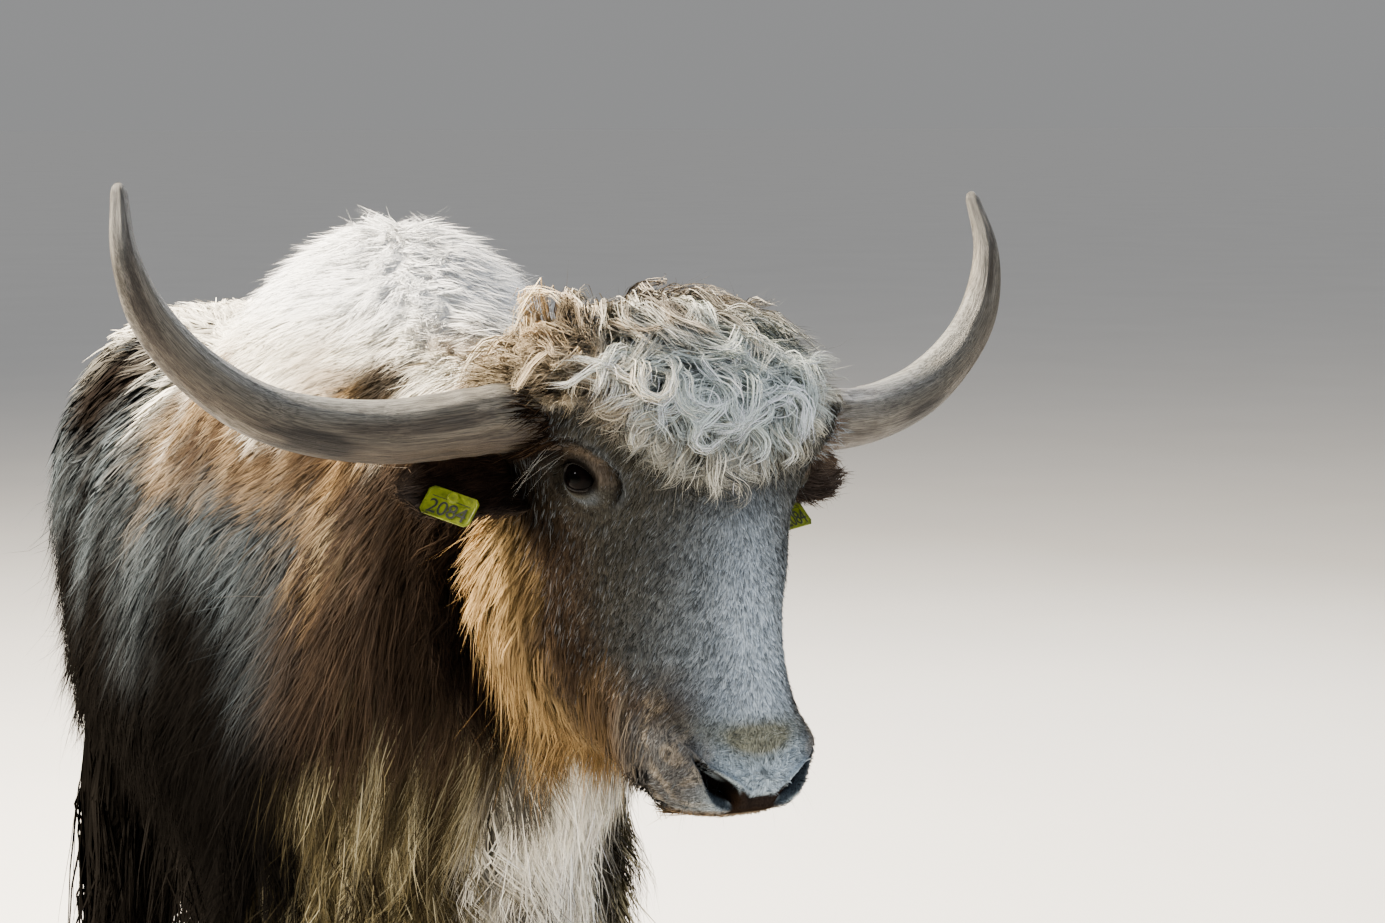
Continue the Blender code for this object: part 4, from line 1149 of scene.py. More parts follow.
def head_flow(p, normal):
    """The lie of the face hair: down and outwards, back on the cheeks, out from eyes and nostrils."""
    q = to_head(p)
    x, y, up = q.T
    side = np.sign(x)
    way = np.stack([0.55 * side * np.minimum(np.abs(x) / 0.05, 1), 0.20 + 0 * x, -1.0 + 0 * x], 1)
    cheek = ease(0.02, 0.10, y) * ease(0.02, -0.04, up)
    way = mix(way, (0.0, 0.40, -0.92), cheek)
    way[:, 0] += 0.10 * side * cheek
    nose = bell(x, 0.050) * bell(up + 0.252, 0.022) * ease(0.0, -0.04, y)
    way = way + nose[:, None] * np.stack([10.0 * x, 0 * x, 1.9 + 0 * x], 1)
    lower = ease(-0.25, -0.28, up) * ease(0.02, -0.02, y)
    way = way + lower[:, None] * np.stack([1.0 * side, 0.3 + 0 * x, 0.2 + 0 * x], 1)
    for hand in (1, -1):
        away = q - np.array(EYE_CENTRE) * (hand, 1, 1)
        reach = np.linalg.norm(away, axis=1)
        way = way + unit(away) * (1.6 * ease(0.050, 0.022, reach))[:, None]
    back = ease(0.12, 0.18, y) * ease(-0.05, 0.02, up)
    way = mix(way, (0.0, 0.9, -0.45), back)
    way[:, 0] += 0.22 * ripple(q, 0.05, 33)
    return turned_from_head(unit(way))


def ear_flow(p, normal):
    q = to_head(p)
    side = np.sign(q[:, 0])
    way = np.stack([side, 0.10 + 0 * side, -0.25 + 0 * side], 1)
    rim = (q[:, 2] + 0.006) / EAR_HALF_BREADTH
    way[:, 2] += 1.1 * np.sign(rim) * ease(0.3, 1.0, np.abs(rim)) * 0.8
    return turned_from_head(unit(way))


def visible_roots(shell, weights, count):
    """Roots on a shell, without those that another part of the skin has swallowed."""
    roots, normals = shell.scatter(weights, int(count * 1.02))
    spots, _ = nearest(roots)
    kept = np.linalg.norm(spots - roots, axis=1) < ROOT_GAP
    return roots[kept], normals[kept]


def grow(name, shell, weights, count, kind, slot, markings, flow, reach, rise, hang, stations, width,
         gather=0.6, per_guide=18, locks=0.35, frizz=0.05, swing=0.0, wave_length=0.08, tone=0.12,
         material=None, tip_light=0.10, roll=50.0, root_shade=0.50, stand=(0.75, 1.2), pale_hairs=0.0,
         shade_factor=1.0):
    """Grows one piece of the coat. reach, rise, hang and width are numbers, or functions of place."""
    roots, normals = visible_roots(SHELLS[shell], at(weights, SHELLS[shell].middles), count)
    count = len(roots)
    picks = rng.choice(count, max(8, count // per_guide), replace=False)
    lead_roots, lead_normals = roots[picks], normals[picks]
    lengths = at(reach, lead_roots) * rng.uniform(0.80, 1.15, len(picks))
    heights = at(rise, lead_roots) * rng.uniform(*stand, len(picks))
    leads = comb(lead_roots, lead_normals, lengths, heights, flow, at(hang, lead_roots), stations)
    if swing > 0:
        size = swing * rng.uniform(0.4, 1.3, len(picks))
        leads = wave(leads, lead_normals, size, wave_length * rng.uniform(0.7, 1.4, len(picks)))
    share = np.linspace(0, 1, stations)[None, :, None]
    # the leads themselves draw together into broader locks
    chief = owners(lead_roots, lead_roots[::LEADS_PER_LOCK])
    pull = locks * share ** 1.3 * rng.uniform(0.3, 1.3, len(leads))[:, None, None]
    leads = leads * (1 - pull) + leads[::LEADS_PER_LOCK][chief] * pull
    owner = owners(roots, lead_roots)
    scale = rng.uniform(0.62, 1.12, count)[:, None, None]
    shape = (leads - leads[:, :1])[owner] * scale
    hold = (gather * rng.uniform(0.55, 1.25, len(leads)))[owner][:, None, None] * share ** 1.2
    hold = np.clip(hold, 0, 0.95)
    paths = roots[:, None] * (1 - hold) + leads[owner][:, :1] * hold + shape
    wild = np.where(rng.random(count) < WILD_SHARE, 1.4 if kind == "under" else 3.0, 1.0)
    span = (np.linalg.norm(shape[:, -1], axis=1) * wild)[:, None, None]
    paths = paths + rng.normal(size=(count, 1, 3)) * frizz * span * share ** 1.5
    paths = paths + rng.normal(size=paths.shape) * frizz * 0.22 * span * share
    tint = markings(paths[:, stations // 2])
    pale = (rng.random(count) < pale_hairs) * rng.uniform(0.02, 0.10, count)
    tint = mix(tint, ROAN_AND_SKY_SHEEN, pale) * shade_factor
    own_tone = rng.normal(1.0, tone * 0.6, len(leads))[owner] * rng.normal(1.0, tone, count)
    tint = tint * np.clip(own_tone, 0.45, 1.7)[:, None]
    wide = at(width, roots) * rng.uniform(0.6, 1.3, count) * np.where(wild > 1, 0.45, 1.0)
    paths[:, :, 2] = np.maximum(paths[:, :, 2], FLOOR_GAP)
    facing = unit(normals * (1, 1, 0.15) - (0, 0.001, 0)) if kind == "under" else normals
    parts = blades(paths, facing, wide, tint, tip_light=tip_light, roll=roll, root_shade=root_shade)
    coat_piece(name, parts, roots, kind, material or HAIR_LONG, slot)


def at(measure, p):
    """A measure at each point: a function of place, or one number all over."""
    return measure(p) if callable(measure) else np.full(len(p), measure)


def owners(points, leaders):
    """For each point, which of the leaders is nearest."""
    finder = KDTree(len(leaders))
    for i, place in enumerate(leaders):
        finder.insert(place, i)
    finder.balance()
    return np.array([finder.find(point)[1] for point in points])


# ------------------------------------------------------------------ where each piece of coat grows
def is_tail(p):
    return (p[:, 1] > 0.99) & (p[:, 2] < 1.03)


def is_leg(p):
    return (p[:, 2] < 0.46) & ~is_tail(p) & (np.abs(p[:, 0] - MIDLINE) > 0.045)


def trunk_zone(p):
    """0 hump, 1 and 2 neck left and right, 3 chest, 4 and 5 flanks, 6 back, 7 belly, 8 leg, 9 tail."""
    x, y, z = from_midline(p)
    left = x > 0.10 * ease(-0.5, -0.9, y)
    zone = np.where(left, 4, 5)
    zone = np.where((y > 0.12) & (z > 1.02), 6, zone)
    zone = np.where(y > 0.80, 6, zone)
    zone = np.where(y < -0.46, np.where(left, 1, 2), zone)
    zone = np.where((y < -0.46) & (z < 0.80), 3, zone)
    zone = np.where((z > 1.06) & (y > -0.64) & (y <= 0.12), 0, zone)
    zone = np.where((z < 0.66) & (y >= -0.46), 7, zone)
    zone = np.where(is_leg(p), 8, zone)
    return np.where(is_tail(p), 9, zone)


def in_zone(number, density=None):
    """A function of place: how thick the hair grows, with none of it outside the zone."""
    def weights(p):
        inside = (trunk_zone(p) == number).astype(float)
        return inside if density is None else inside * density(p)
    return weights


def outside_legs(p):
    """Thin between the legs, where the skirt hides it, and thickest where the chest's hair begins."""
    dense = 1 - 0.75 * ease(0.13, 0.09, np.abs(p[:, 0] - MIDLINE)) * ease(0.62, 0.55, p[:, 2])
    return dense * (1 + 1.2 * ease(-0.22, -0.40, p[:, 1]))


def towards_front(p):
    """Thicker where the coat is finest, over the shoulders and neck."""
    return 0.55 + 0.9 * ease(0.5, -0.5, p[:, 1])


def body_reach(p):
    """The length of the body's hair: longer low down and in front, shorter on top."""
    y, z = p[:, 1], p[:, 2]
    reach = 0.062 + 0.050 * ease(1.10, 0.80, z) + 0.03 * ease(-0.35, -0.6, y) * ease(1.2, 1.0, z)
    return reach - 0.016 * ease(1.15, 1.3, z)


def hump_rise(p):
    return 0.90 * coat_depth_body(p) + 0.017 * bell(p[:, 1] + 0.36, 0.20) * ease(1.16, 1.30, p[:, 2])


def face_density(p):
    """Short hair over the face, but not under the forelock, on bare skin or on the lids."""
    q = to_head(p)
    x, y, up = q.T
    dense = ease(0.040, 0.018, up - fringe_line(x)) * ease(0.135, 0.10, y)
    across, edge = nostril_reach(q)
    dense *= np.where(across > 0, ease(0.70, 0.95, edge), ease(1.05, 1.20, edge))
    dense *= 1 - nose_strip(q)
    for side in (1, -1):
        _, _, _, opening, reach = eye_reach(q, side)
        dense *= np.where(reach < 0.05, ease(1.20, 2.1, opening), 1.0)
    # thickest in front, where the hair is shortest
    return dense * (1 + 0.8 * ease(0.10, -0.02, y))


def face_width(p):
    """Blades on the face, finest round the eyes."""
    q = to_head(p)
    fine = sum(ease(0.055, 0.035, eye_reach(q, side)[4]) for side in (1, -1))
    return 0.0012 - 0.0005 * fine


def face_reach(p):
    q = to_head(p)
    _, y, up = q.T
    reach = 0.0078 + 0.012 * ease(0.03, 0.10, y) + 0.004 * ease(-0.03, 0.03, up)
    reach = reach - 0.0022 * ease(-0.19, -0.24, up) * ease(0.02, -0.02, y)
    for side in (1, -1):
        reach = reach * (1 - 0.62 * ease(0.052, 0.030, eye_reach(q, side)[4]))
    return reach


def cheek_density(p):
    _, y, up = to_head(p).T
    dense = ease(0.055, 0.10, y) * ease(0.06, 0.02, up)
    under = ease(-0.15, -0.20, up - 0.35 * np.clip(y, -0.05, 0.3)) * ease(-0.058, -0.015, y)
    return np.clip(dense + under, 0, 1)


def cheek_reach(p):
    q = to_head(p)
    reach = 0.028 + 0.022 * ease(0.08, 0.18, q[:, 1]) + 0.022 * ease(-0.12, -0.22, q[:, 2])
    return reach + 0.055 * jaw_hem(q)


def jaw_hem(q):
    """1 at the rear lower edge of the jaw, where the hair hangs longest."""
    return ease(0.13, 0.20, q[:, 1]) * ease(-0.06, -0.14, q[:, 2])


def cheek_hang(p):
    return 0.25 + 0.50 * jaw_hem(to_head(p))


def cheek_rise(p):
    return head_rise(p) * (1.2 + 0.8 * ease(0.08, 0.16, to_head(p)[:, 1]))


def poll_density(p):
    x, _, up = to_head(p).T
    return ease(0.004, 0.022, up - fringe_line(x))


def poll_reach(p):
    x, _, up = to_head(p).T
    return np.clip(0.016 + 0.75 * (up - fringe_line(x)), 0.018, 0.058)


def poll_rise(p):
    """The mop's height: square-shouldered over both horns, lower over the left horn's root and behind."""
    x, y, up = to_head(p).T
    rise = 0.95 * coat_depth_head(x, y, up) + 0.004
    shoulder = ease(0.070, 0.105, up) * ease(0.075, 0.120, np.abs(x + 0.008)) * ease(0.17, 0.11, y)
    rise = rise + np.where(x > 0, 0.019, 0.026) * shoulder
    rise = rise + 0.026 * ease(-0.045, -0.120, x) * ease(0.07, 0.115, up) * ease(0.17, 0.11, y)
    rise = rise + 0.022 * bell(x + 0.052, 0.036) * ease(0.09, 0.14, up)
    rise = rise * (1 - 0.80 * ease(0.075, 0.120, x) * ease(0.105, 0.075, up))
    return rise * (1 - 0.40 * ease(0.13, 0.20, y))


def head_rise(p):
    return 1.15 * coat_depth_head(*to_head(p).T)


def head_tint(p):
    return head_markings(to_head(p))


def make_coat():
    """Each piece's place, count, look and lie."""
    body = dict(shell="body", kind="over", slot="coat_brown", markings=body_markings, flow=body_flow,
                reach=body_reach, rise=coat_depth_body, hang=0.25, stations=4, swing=0.0035, tone=0.28)
    broad = dict(body, gather=0.55, locks=0.35)
    close = dict(body, gather=0.50, locks=0.25, frizz=0.10, per_guide=11)
    loose = dict(body, kind="under", stations=6, swing=0.028, wave_length=0.12)
    head = dict(shell="head", kind="head", markings=head_tint, flow=head_flow, hang=0.0)
    short = dict(head, material=HAIR_SHORT)
    ear = dict(kind="ear", slot="coat_dark", material=HAIR_SHORT, weights=1.0, count=4200, flow=ear_flow,
               reach=0.027, rise=0.007, hang=0.0, stations=4, width=0.0013, gather=0.5, tone=0.35,
               frizz=0.12)
    pieces = {
        "coat_hump": dict(
            body, weights=in_zone(0), count=43500, slot="coat_cream", reach=0.043, rise=hump_rise,
            hang=0.0, stations=3, width=0.0018, gather=0.16, locks=0.05, frizz=0.10, swing=0.0,
            tone=0.05, root_shade=0.90),
        "coat_neck_left": dict(broad, weights=in_zone(1), count=13500, width=0.0040),
        "coat_neck_right": dict(close, weights=in_zone(2), count=31500, width=0.0018),
        "coat_flank_left": dict(broad, weights=in_zone(4, towards_front), count=12500, width=0.0050),
        "coat_flank_right": dict(close, weights=in_zone(5, towards_front), count=28500, width=0.0021),
        "coat_back": dict(
            body, weights=in_zone(6), count=16500, slot="coat_cream", hang=0.1, width=0.0048, gather=0.5),
        "coat_chest": dict(
            loose, weights=in_zone(3), count=12300, slot="coat_cream", stations=7, swing=0.022,
            wave_length=0.13, hang=0.75, width=0.0026, gather=0.85, locks=0.55, per_guide=24,
            reach=lambda p: 0.20 + 0.08 * ease(0.75, 0.60, p[:, 2]),
            rise=lambda p: coat_depth_body(p) * (1 + 0.6 * ease(-0.02, 0.10, p[:, 0]))),
        "coat_skirt": dict(
            loose, weights=in_zone(7, outside_legs), count=12500, hang=0.85, width=0.0066, gather=0.75,
            locks=0.5, reach=lambda p: np.clip(p[:, 2] - 0.23 + 0.07 * ease(0.0, 0.4, p[:, 1]), 0.08, 0.48),
            markings=lambda p: body_markings(np.maximum(p, (-9.0, -9.0, 0.42)))),
        "coat_legs": dict(
            shell="body", weights=in_zone(8, lambda p: p[:, 2] > 0.060), count=11000, kind="leg",
            slot="coat_brown", markings=body_markings, reach=0.030, rise=0.007, hang=0.0, stations=3,
            width=0.0045, flow=lambda p, normal: np.tile((0.0, 0.12, -1.0), (len(p), 1))),
        "coat_face": dict(
            short, weights=face_density, count=49500, slot="coat_taupe", reach=face_reach, stations=3,
            rise=lambda p: 0.0016 + 0.4 * head_rise(p), width=face_width, gather=0.25, per_guide=8,
            locks=0.1, tone=0.50, tip_light=0.30, frizz=0.12, pale_hairs=0.35),
        "coat_cheeks": dict(
            short, weights=cheek_density, count=20000, slot="coat_brown", reach=cheek_reach,
            rise=cheek_rise, hang=cheek_hang, stations=4, width=0.0019, gather=0.50, frizz=0.07,
            swing=0.0015, tone=0.16),
        # painted shade: the poll's hair under the forelock is darkened
        "coat_poll": dict(
            head, weights=poll_density, count=13500, slot="coat_cream", flow=crown_flow,
            reach=poll_reach, rise=poll_rise, stations=5, width=0.0013, gather=0.55, swing=0.006,
            wave_length=0.045, frizz=0.13, roll=80.0, stand=(0.45, 0.90), shade_factor=0.42, tone=0.28),
        "coat_ear_left": dict(ear, shell="ear_left", markings=lambda p: ear_markings(to_head(p), 1)),
        "coat_ear_right": dict(ear, shell="ear_right", markings=lambda p: ear_markings(to_head(p), -1)),
    }
    for name, piece in pieces.items():
        grow(name, **piece)


def tail_brush():
    """Long hair from the whole dock, spreading to the brush's outline and closing to its tip."""
    count, stations, lock_count = 5000, 7, 150
    lock = rng.integers(0, lock_count, count)
    start = rng.uniform(DOCK_END, 1.12, lock_count)[lock] + rng.normal(0, 0.012, count)
    length = rng.uniform(0.26, 0.44, lock_count)[lock] * rng.uniform(0.8, 1.05, count)
    end = np.maximum(TAIL_BRUSH[-1][0], start - length)
    turn = rng.uniform(0, 2 * math.pi, lock_count)[lock]
    reach = np.sqrt(rng.uniform(0.15, 1.0, lock_count))[lock]
    share = np.linspace(0, 1, stations)
    heights = start[:, None] + (end - start)[:, None] * share
    loose = 1 - 0.75 * share
    angle = turn[:, None] + rng.normal(0, 0.30, count)[:, None] * loose
    reach = reach[:, None] + rng.normal(0, 0.10, count)[:, None] * loose
    spread = (0.25 + 0.75 * ease(0.0, 0.55, share)) * reach
    marks, *columns = np.array(TAIL_BRUSH).T
    middle, broad, deep = (smooth_read(marks, column, heights) for column in columns)
    sway = 0.010 * np.sin(heights * 55 + lock[:, None] * 1.7) * share
    x = MIDLINE + np.cos(angle) * broad * spread + sway
    y = middle - 0.006 + np.sin(angle) * (deep * 1.15) * spread + 0.7 * np.roll(sway, 1, axis=1)
    paths = np.stack([x, y, heights], 2)
    facing = np.stack([np.cos(turn), np.sin(turn), np.zeros(count)], 1)
    tint = body_markings(np.stack([x[:, 2], y[:, 2] + 0.1, heights[:, 2]], 1))
    tone = rng.normal(1, 0.10, lock_count)[lock] * rng.normal(1, 0.14, count)
    tint = tint * np.clip(tone, 0.5, 1.6)[:, None]
    parts = blades(paths, facing, rng.uniform(0.0025, 0.0055, count), tint, roll=70.0)
    roots = np.stack([x[:, 0] + 0.05 * turn, y[:, 0], heights[:, 0]], 1)
    coat_piece("coat_tail", parts, roots, "tail", HAIR_LONG, "coat_brown")


def crown_flow(p, normal):
    """The forelock falls forwards from the poll and spreads to both sides."""
    q = to_head(p)
    x, y, up = q.T
    top = ease(0.085, 0.13, up)
    way = np.stack([np.where(x < 0, 5.0, 0.7 + 2.2 * top) * x, -0.9 * top + 0 * x, -1.0 + 0.5 * top], 1)
    way[:, 1] += 1.4 * ease(0.10, 0.16, y)
    way[:, 0] += 0.35 * ripple(q, 0.10, 35)
    way[:, 2] += 0.20 * ripple(q, 0.12, 36)
    return turned_from_head(unit(way))


def forelock():
    """Locks over the forehead and poll: they wave as they fall, and many end in a ring or a hook."""
    shell = SHELLS["head"]

    def weights(p):
        q = to_head(p)
        over = q[:, 2] - fringe_line(q[:, 0])
        left_edge = ease(0.070, 0.105, q[:, 0]) * ease(0.135, 0.105, q[:, 2])
        return ease(0.018, 0.040, over) * (0.35 + ease(0.17, 0.06, q[:, 1])) * (1 - 0.97 * left_edge)

    locks, hairs, fine, stations = 255, 27, 26, 12
    roots, normals = visible_roots(shell, weights(shell.middles), locks)
    locks = len(roots)
    q = to_head(roots)
    over = q[:, 2] - fringe_line(q[:, 0])
    flow = crown_flow(roots, normals)
    flow = unit(flow - (flow * normals).sum(1, keepdims=True) * normals)
    side = np.cross(normals, flow)
    lean = rng.normal(0, 0.16, locks)[:, None]
    flow, side = flow * np.cos(lean) + side * np.sin(lean), side * np.cos(lean) - flow * np.sin(lean)
    # on top the locks lie straighter; the biggest rings are in front
    straight = ease(0.105, 0.135, q[:, 2])
    hand = np.where(ripple(q, 0.10, 37) + 0.6 * rng.normal(size=locks) > 0, 1.0, -1.0)
    radius = rng.uniform(0.0150, 0.0250, locks)
    # no ring stands out over the right horn
    outline = (q[:, 0] < -0.085) & (q[:, 2] > 0.105)
    ringed = (rng.random(locks) < (0.08 + 0.30 * (q[:, 1] < 0.03)) * (1 - straight)) & ~outline
    length = np.where(ringed, np.clip(rng.uniform(0.120, 0.175, locks), 0.0, 0.050 + 1.25 * over),
                      np.clip(rng.uniform(0.085, 0.140, locks), 0.0, 0.014 + 1.15 * over))
    length = length * (1 - 0.60 * ease(0.04, 0.09, q[:, 0]) * ease(0.15, 0.12, q[:, 2]))
    length = length * (1 - 0.45 * ease(-0.07, -0.12, q[:, 0]) * ease(0.15, 0.11, q[:, 2]))
    share = np.linspace(0, 1, fine)
    step = length[:, None] / (fine - 1)
    travel = share[None] * length[:, None]
    swing = (rng.uniform(0.25, 0.70, locks) * (1 - 0.5 * straight))[:, None]
    phase = rng.uniform(0, 2 * math.pi, locks)[:, None]
    sway = swing * np.sin(travel / rng.uniform(0.045, 0.075, locks)[:, None] * 2 * math.pi + phase)
    start = np.where(ringed, rng.uniform(0.15, 0.40, locks), rng.uniform(0.35, 0.60, locks))[:, None]
    full = (np.where(ringed, 1.0, 0.45) * (1 - 0.6 * straight))[:, None]
    full = full * ease(0.0, 0.25, share[None] - start + 0.12)
    bend = hand[:, None] * full / radius[:, None] * (0.75 + 0.5 * share[None])
    heading = sway - sway[:, :1] + np.cumsum(bend * step, axis=1)
    ahead = np.cumsum(np.cos(heading) * step, axis=1)
    aside = np.cumsum(np.sin(heading) * step, axis=1)
    paths = roots[:, None] + flow[:, None] * ahead[..., None] + side[:, None] * aside[..., None]
    base, out = nearest(paths.reshape(-1, 3))
    out = unit(out.reshape(paths.shape) + normals[:, None] * 0.5)
    layer = rng.uniform(0.32, 0.80, locks)
    level = layer[:, None] * (0.35 + 0.65 * ease(0, 0.35, share))
    height = poll_rise(roots)[:, None] * level + 0.003 * np.sin(share * 6 + phase)
    paths = base.reshape(paths.shape) + out * height[..., None]
    paths[:, 1:-1] = (paths[:, :-2] + 2 * paths[:, 1:-1] + paths[:, 2:]) / 4
    along = unit(np.gradient(paths, axis=1))
    across = unit(np.cross(out, along))
    rise = np.cross(along, across)
    # each lock's hairs are read along it, each to a length of its own
    ends = rng.uniform(0.70, 1.0, (locks, hairs))
    reads = ends[..., None] * np.linspace(0, 1, stations) * (fine - 1)
    low = np.minimum(reads.astype(int), fine - 2)
    part = (reads - low)[..., None]
    row = np.arange(locks)[:, None, None]

    def read(values):
        return values[row, low] * (1 - part) + values[row, low + 1] * part

    angle = rng.uniform(0, 2 * math.pi, (locks, hairs, 1, 1))
    wild = np.where(rng.random((locks, hairs, 1, 1)) < 0.15, 2.2, 1.0)
    ring = np.sqrt(rng.random((locks, hairs, 1, 1))) * rng.uniform(0.0042, 0.0092, (locks, 1, 1, 1)) * wild
    waist = (0.55 + 0.45 * ease(0, 0.2, reads / fine) - 0.72 * ease(0.35, 1.0, reads / fine))[..., None]
    strands = read(paths) + (np.cos(angle) * read(across) + 0.5 * np.sin(angle) * read(rise)) * ring * waist
    strands = strands.reshape(-1, stations, 3)
    drift = rng.normal(size=(locks * hairs, 2, 3)) * 0.0022
    reach = np.linspace(0, 1, stations)[:, None]
    strands = strands + drift[:, :1] * np.sin(reach * 4.5) + drift[:, 1:] * reach ** 2
    tint = head_markings(to_head(strands[:, stations // 2]))
    # painted shade: the lower locks, and the under side of each, are darker
    lock_tone_and_shade = np.repeat(np.clip(rng.normal(1.0, 0.17, locks), 0.6, 1.4) * (0.20 + 1.28 * layer), hairs)
    lock_tone_and_shade = lock_tone_and_shade * (0.84 + 0.22 * np.sin(angle).reshape(-1))
    tint = tint * (lock_tone_and_shade * np.clip(rng.normal(1.06, 0.24, locks * hairs), 0.4, 1.6))[:, None]
    facing = np.repeat(normals, hairs, axis=0)
    parts = blades(strands, facing, rng.uniform(0.0005, 0.0014, len(strands)), tint, taper=1.7, roll=75.0)
    coat_piece("coat_forelock", parts, np.repeat(roots, hairs, axis=0), "head", HAIR_LONG, "coat_cream")


def horn_roots():
    """Short dark hair that runs out from the brow over the root of each horn and lies on it."""
    count, stations = 950, 5
    share = np.linspace(0, 1, stations)
    paths, facing = [], []
    for line in (np.array(HORN_LEFT), np.array(HORN_RIGHT)):
        along = unit(line[1] - line[0])
        across = unit(np.cross(along, (0.0, 1.0, 0.0)))
        other = np.cross(along, across)
        turn = rng.uniform(0, 2 * math.pi, count)
        swirl = turn[:, None] + rng.normal(0, 0.30, count)[:, None] * share
        ragged = 0.016 * ripple(np.stack([np.cos(turn), np.sin(turn), 0 * turn], 1), 1.1, 61)
        start = 0.016 + ragged + rng.uniform(0, 0.026, count)
        run = start[:, None] + rng.uniform(0.016, 0.038, count)[:, None] * share
        out = HORN_RADII[0] - 0.0015 + rng.uniform(0.002, 0.008, count)[:, None] * share ** 0.8
        radial = np.cos(swirl)[..., None] * across + np.sin(swirl)[..., None] * other
        hairs = line[0] + run[..., None] * along + radial * out[..., None]
        hairs[:, :, 2] -= 0.004 * share ** 2
        paths.append(hairs)
        facing.append(radial[:, 0])
    paths, facing = np.concatenate(paths), np.concatenate(facing)
    # dark at the right horn, grey at the left
    left = (np.arange(len(paths)) < count)[:, None]
    some = (rng.random(len(paths)) < 0.30)[:, None]
    tint = np.where(left, np.where(some, 0.5 * ROAN_AND_SKY_SHEEN, EAR_GREY), np.where(some, BROWN, UMBER))
    tint = tint * rng.normal(1, 0.2, (len(paths), 1))
    parts = blades(from_head(paths), turned_from_head(facing), rng.uniform(0.0009, 0.0017, len(paths)), tint)
    coat_piece("coat_horn_roots", parts, from_head(paths[:, 0]), "head", HAIR_SHORT, "coat_dark")


def lashes():
    """Dark upper lashes, a few long pale brow hairs, and stiff hairs about the nostrils and chin."""
    share = np.linspace(0, 1, 5)[:, None]
    hairs = []

    def add(root, way, length, droop, tint, facing, width):
        path = root + way * (length * share) + np.array((0, 0, droop)) * (length * share ** 2)
        hairs.append((path, tint, facing, width))

    for side in (1, -1):
        eye, looks, level, rise = eye_axes(side)
        for turn in np.radians(np.linspace(15, 165, 64)):
            a, b = LID_HALF_LENGTH * 1.04 * math.cos(turn), LID_HALF_HEIGHT * 1.10 * math.sin(turn)
            out = math.sqrt(EYE_RADIUS ** 2 - a * a - b * b) + 0.0030
            root = eye + level * a + rise * b + looks * out
            way = unit(looks * 0.9 + level * a * 22 + rise * 0.10 + np.array((0, 0, -0.25)))
            add(root, way, rng.uniform(0.010, 0.016), -0.30, DARK * 0.6, (0.0, 0.0, 1.0), 0.0007)
        for _ in range(7):
            x, y, up = side * rng.uniform(0.010, 0.024), rng.uniform(-0.01, 0.03), rng.uniform(0.02, 0.04)
            length = rng.uniform(0.045, 0.085)
            way = (side * rng.uniform(0.6, 0.9), rng.uniform(-0.2, 0.3), rng.uniform(-0.8, -0.2))
            add(eye + np.array((x, y, up)), unit(np.array(way)), length, -0.25, CREAM * 0.55,
                (side * 1.0, -0.3, 0.2), 0.0003)
    for _ in range(36):
        side = rng.choice((-1, 1))
        root = (side * rng.uniform(0.03, 0.075), rng.uniform(-0.095, -0.06), rng.uniform(-0.305, -0.25))
        spot, normal = (np.array(v) for v in TREE.find_nearest(from_head(root))[:2])
        way = unit(to_head(normal + HEAD[:3, 3]) + np.array((0, 0, -0.5)))
        add(to_head(spot), way, rng.uniform(0.012, 0.026), -0.4, ASH, (0.0, 0.0, 1.0), 0.0004)
    paths, tints, facings, widths = (np.array(column) for column in zip(*hairs))
    paths = from_head(paths)
    parts = blades(paths, turned_from_head(facings), widths, tints, roll=20.0)
    coat_piece("lashes", parts, paths[:, 0], "head", HAIR_SHORT, "coat_dark")


# ------------------------------------------------------------------ eyes and lids
def make_eye(label, side):
    """The ball with its cornea's bulge, and the tints of iris, level pupil and white."""
    eye, looks, level, rise = eye_axes(side)

    def spot(turn, run):
        polar = run * math.pi
        around = turn * 2 * math.pi
        bulge = 1 + 0.055 * ease(math.radians(42), math.radians(18), polar)
        ring = np.sin(polar) * EYE_RADIUS * bulge
        q = eye + looks * (np.cos(polar) * EYE_RADIUS * bulge)[:, None]
        q = q + level * (ring * np.cos(around))[:, None] + rise * (ring * np.sin(around))[:, None]
        return from_head(q)

    ball = rolled(f"eyeball_{label}", 64, 48, spot)
    rel = to_head(spots_of(ball.data)) - eye
    out = rel @ looks / EYE_RADIUS
    across, over = rel @ level, rel @ rise
    write_colours(ball.data, laid(colour("#030202"), len(rel), (
        (colour("#0a0605"), 0.8 * bell(np.hypot(across, over) - 0.0095, 0.0025)),
        (colour("#020202"), ease(1.1, 0.9, np.hypot(across / 0.0085, over / 0.0048))),
        (colour("#060403"), ease(0.66, 0.52, out)),
    )))
    ball.data.materials.append(eye_material(label))
    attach(ball, "root")
    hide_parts(f"eye_{label}")


def make_lid_rim(label, side):
    """The moist dark edge of the lids, a thin roll round the opening, thickest at its two corners."""
    eye, looks, level, rise = eye_axes(side)

    def spot(turn, run):
        around = turn * 2 * math.pi
        a = LID_HALF_LENGTH * np.cos(around) * 1.01
        b = LID_HALF_HEIGHT * np.sin(around) * 1.01
        out = np.sqrt(EYE_RADIUS ** 2 - a ** 2 - b ** 2) + 0.0008
        thick = np.where(b > 0, 0.0016, 0.0012) * (1 + 0.25 * np.cos(around * 2))
        middle = eye + level * a[:, None] + rise * b[:, None] + looks * out[:, None]
        outward = unit(level * (a / LID_HALF_LENGTH)[:, None] + rise * (b / LID_HALF_HEIGHT)[:, None])
        ring = run * 2 * math.pi
        q = middle + (outward * np.cos(ring)[:, None] + looks * np.sin(ring)[:, None]) * thick[:, None]
        return from_head(q)

    rim = rolled(f"lid_rim_{label}", 96, 14, spot)
    rim.data.materials.append(wet_skin_material(f"moist_lid_{label}", "#0d0907", 0.50))
    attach(rim, "root")


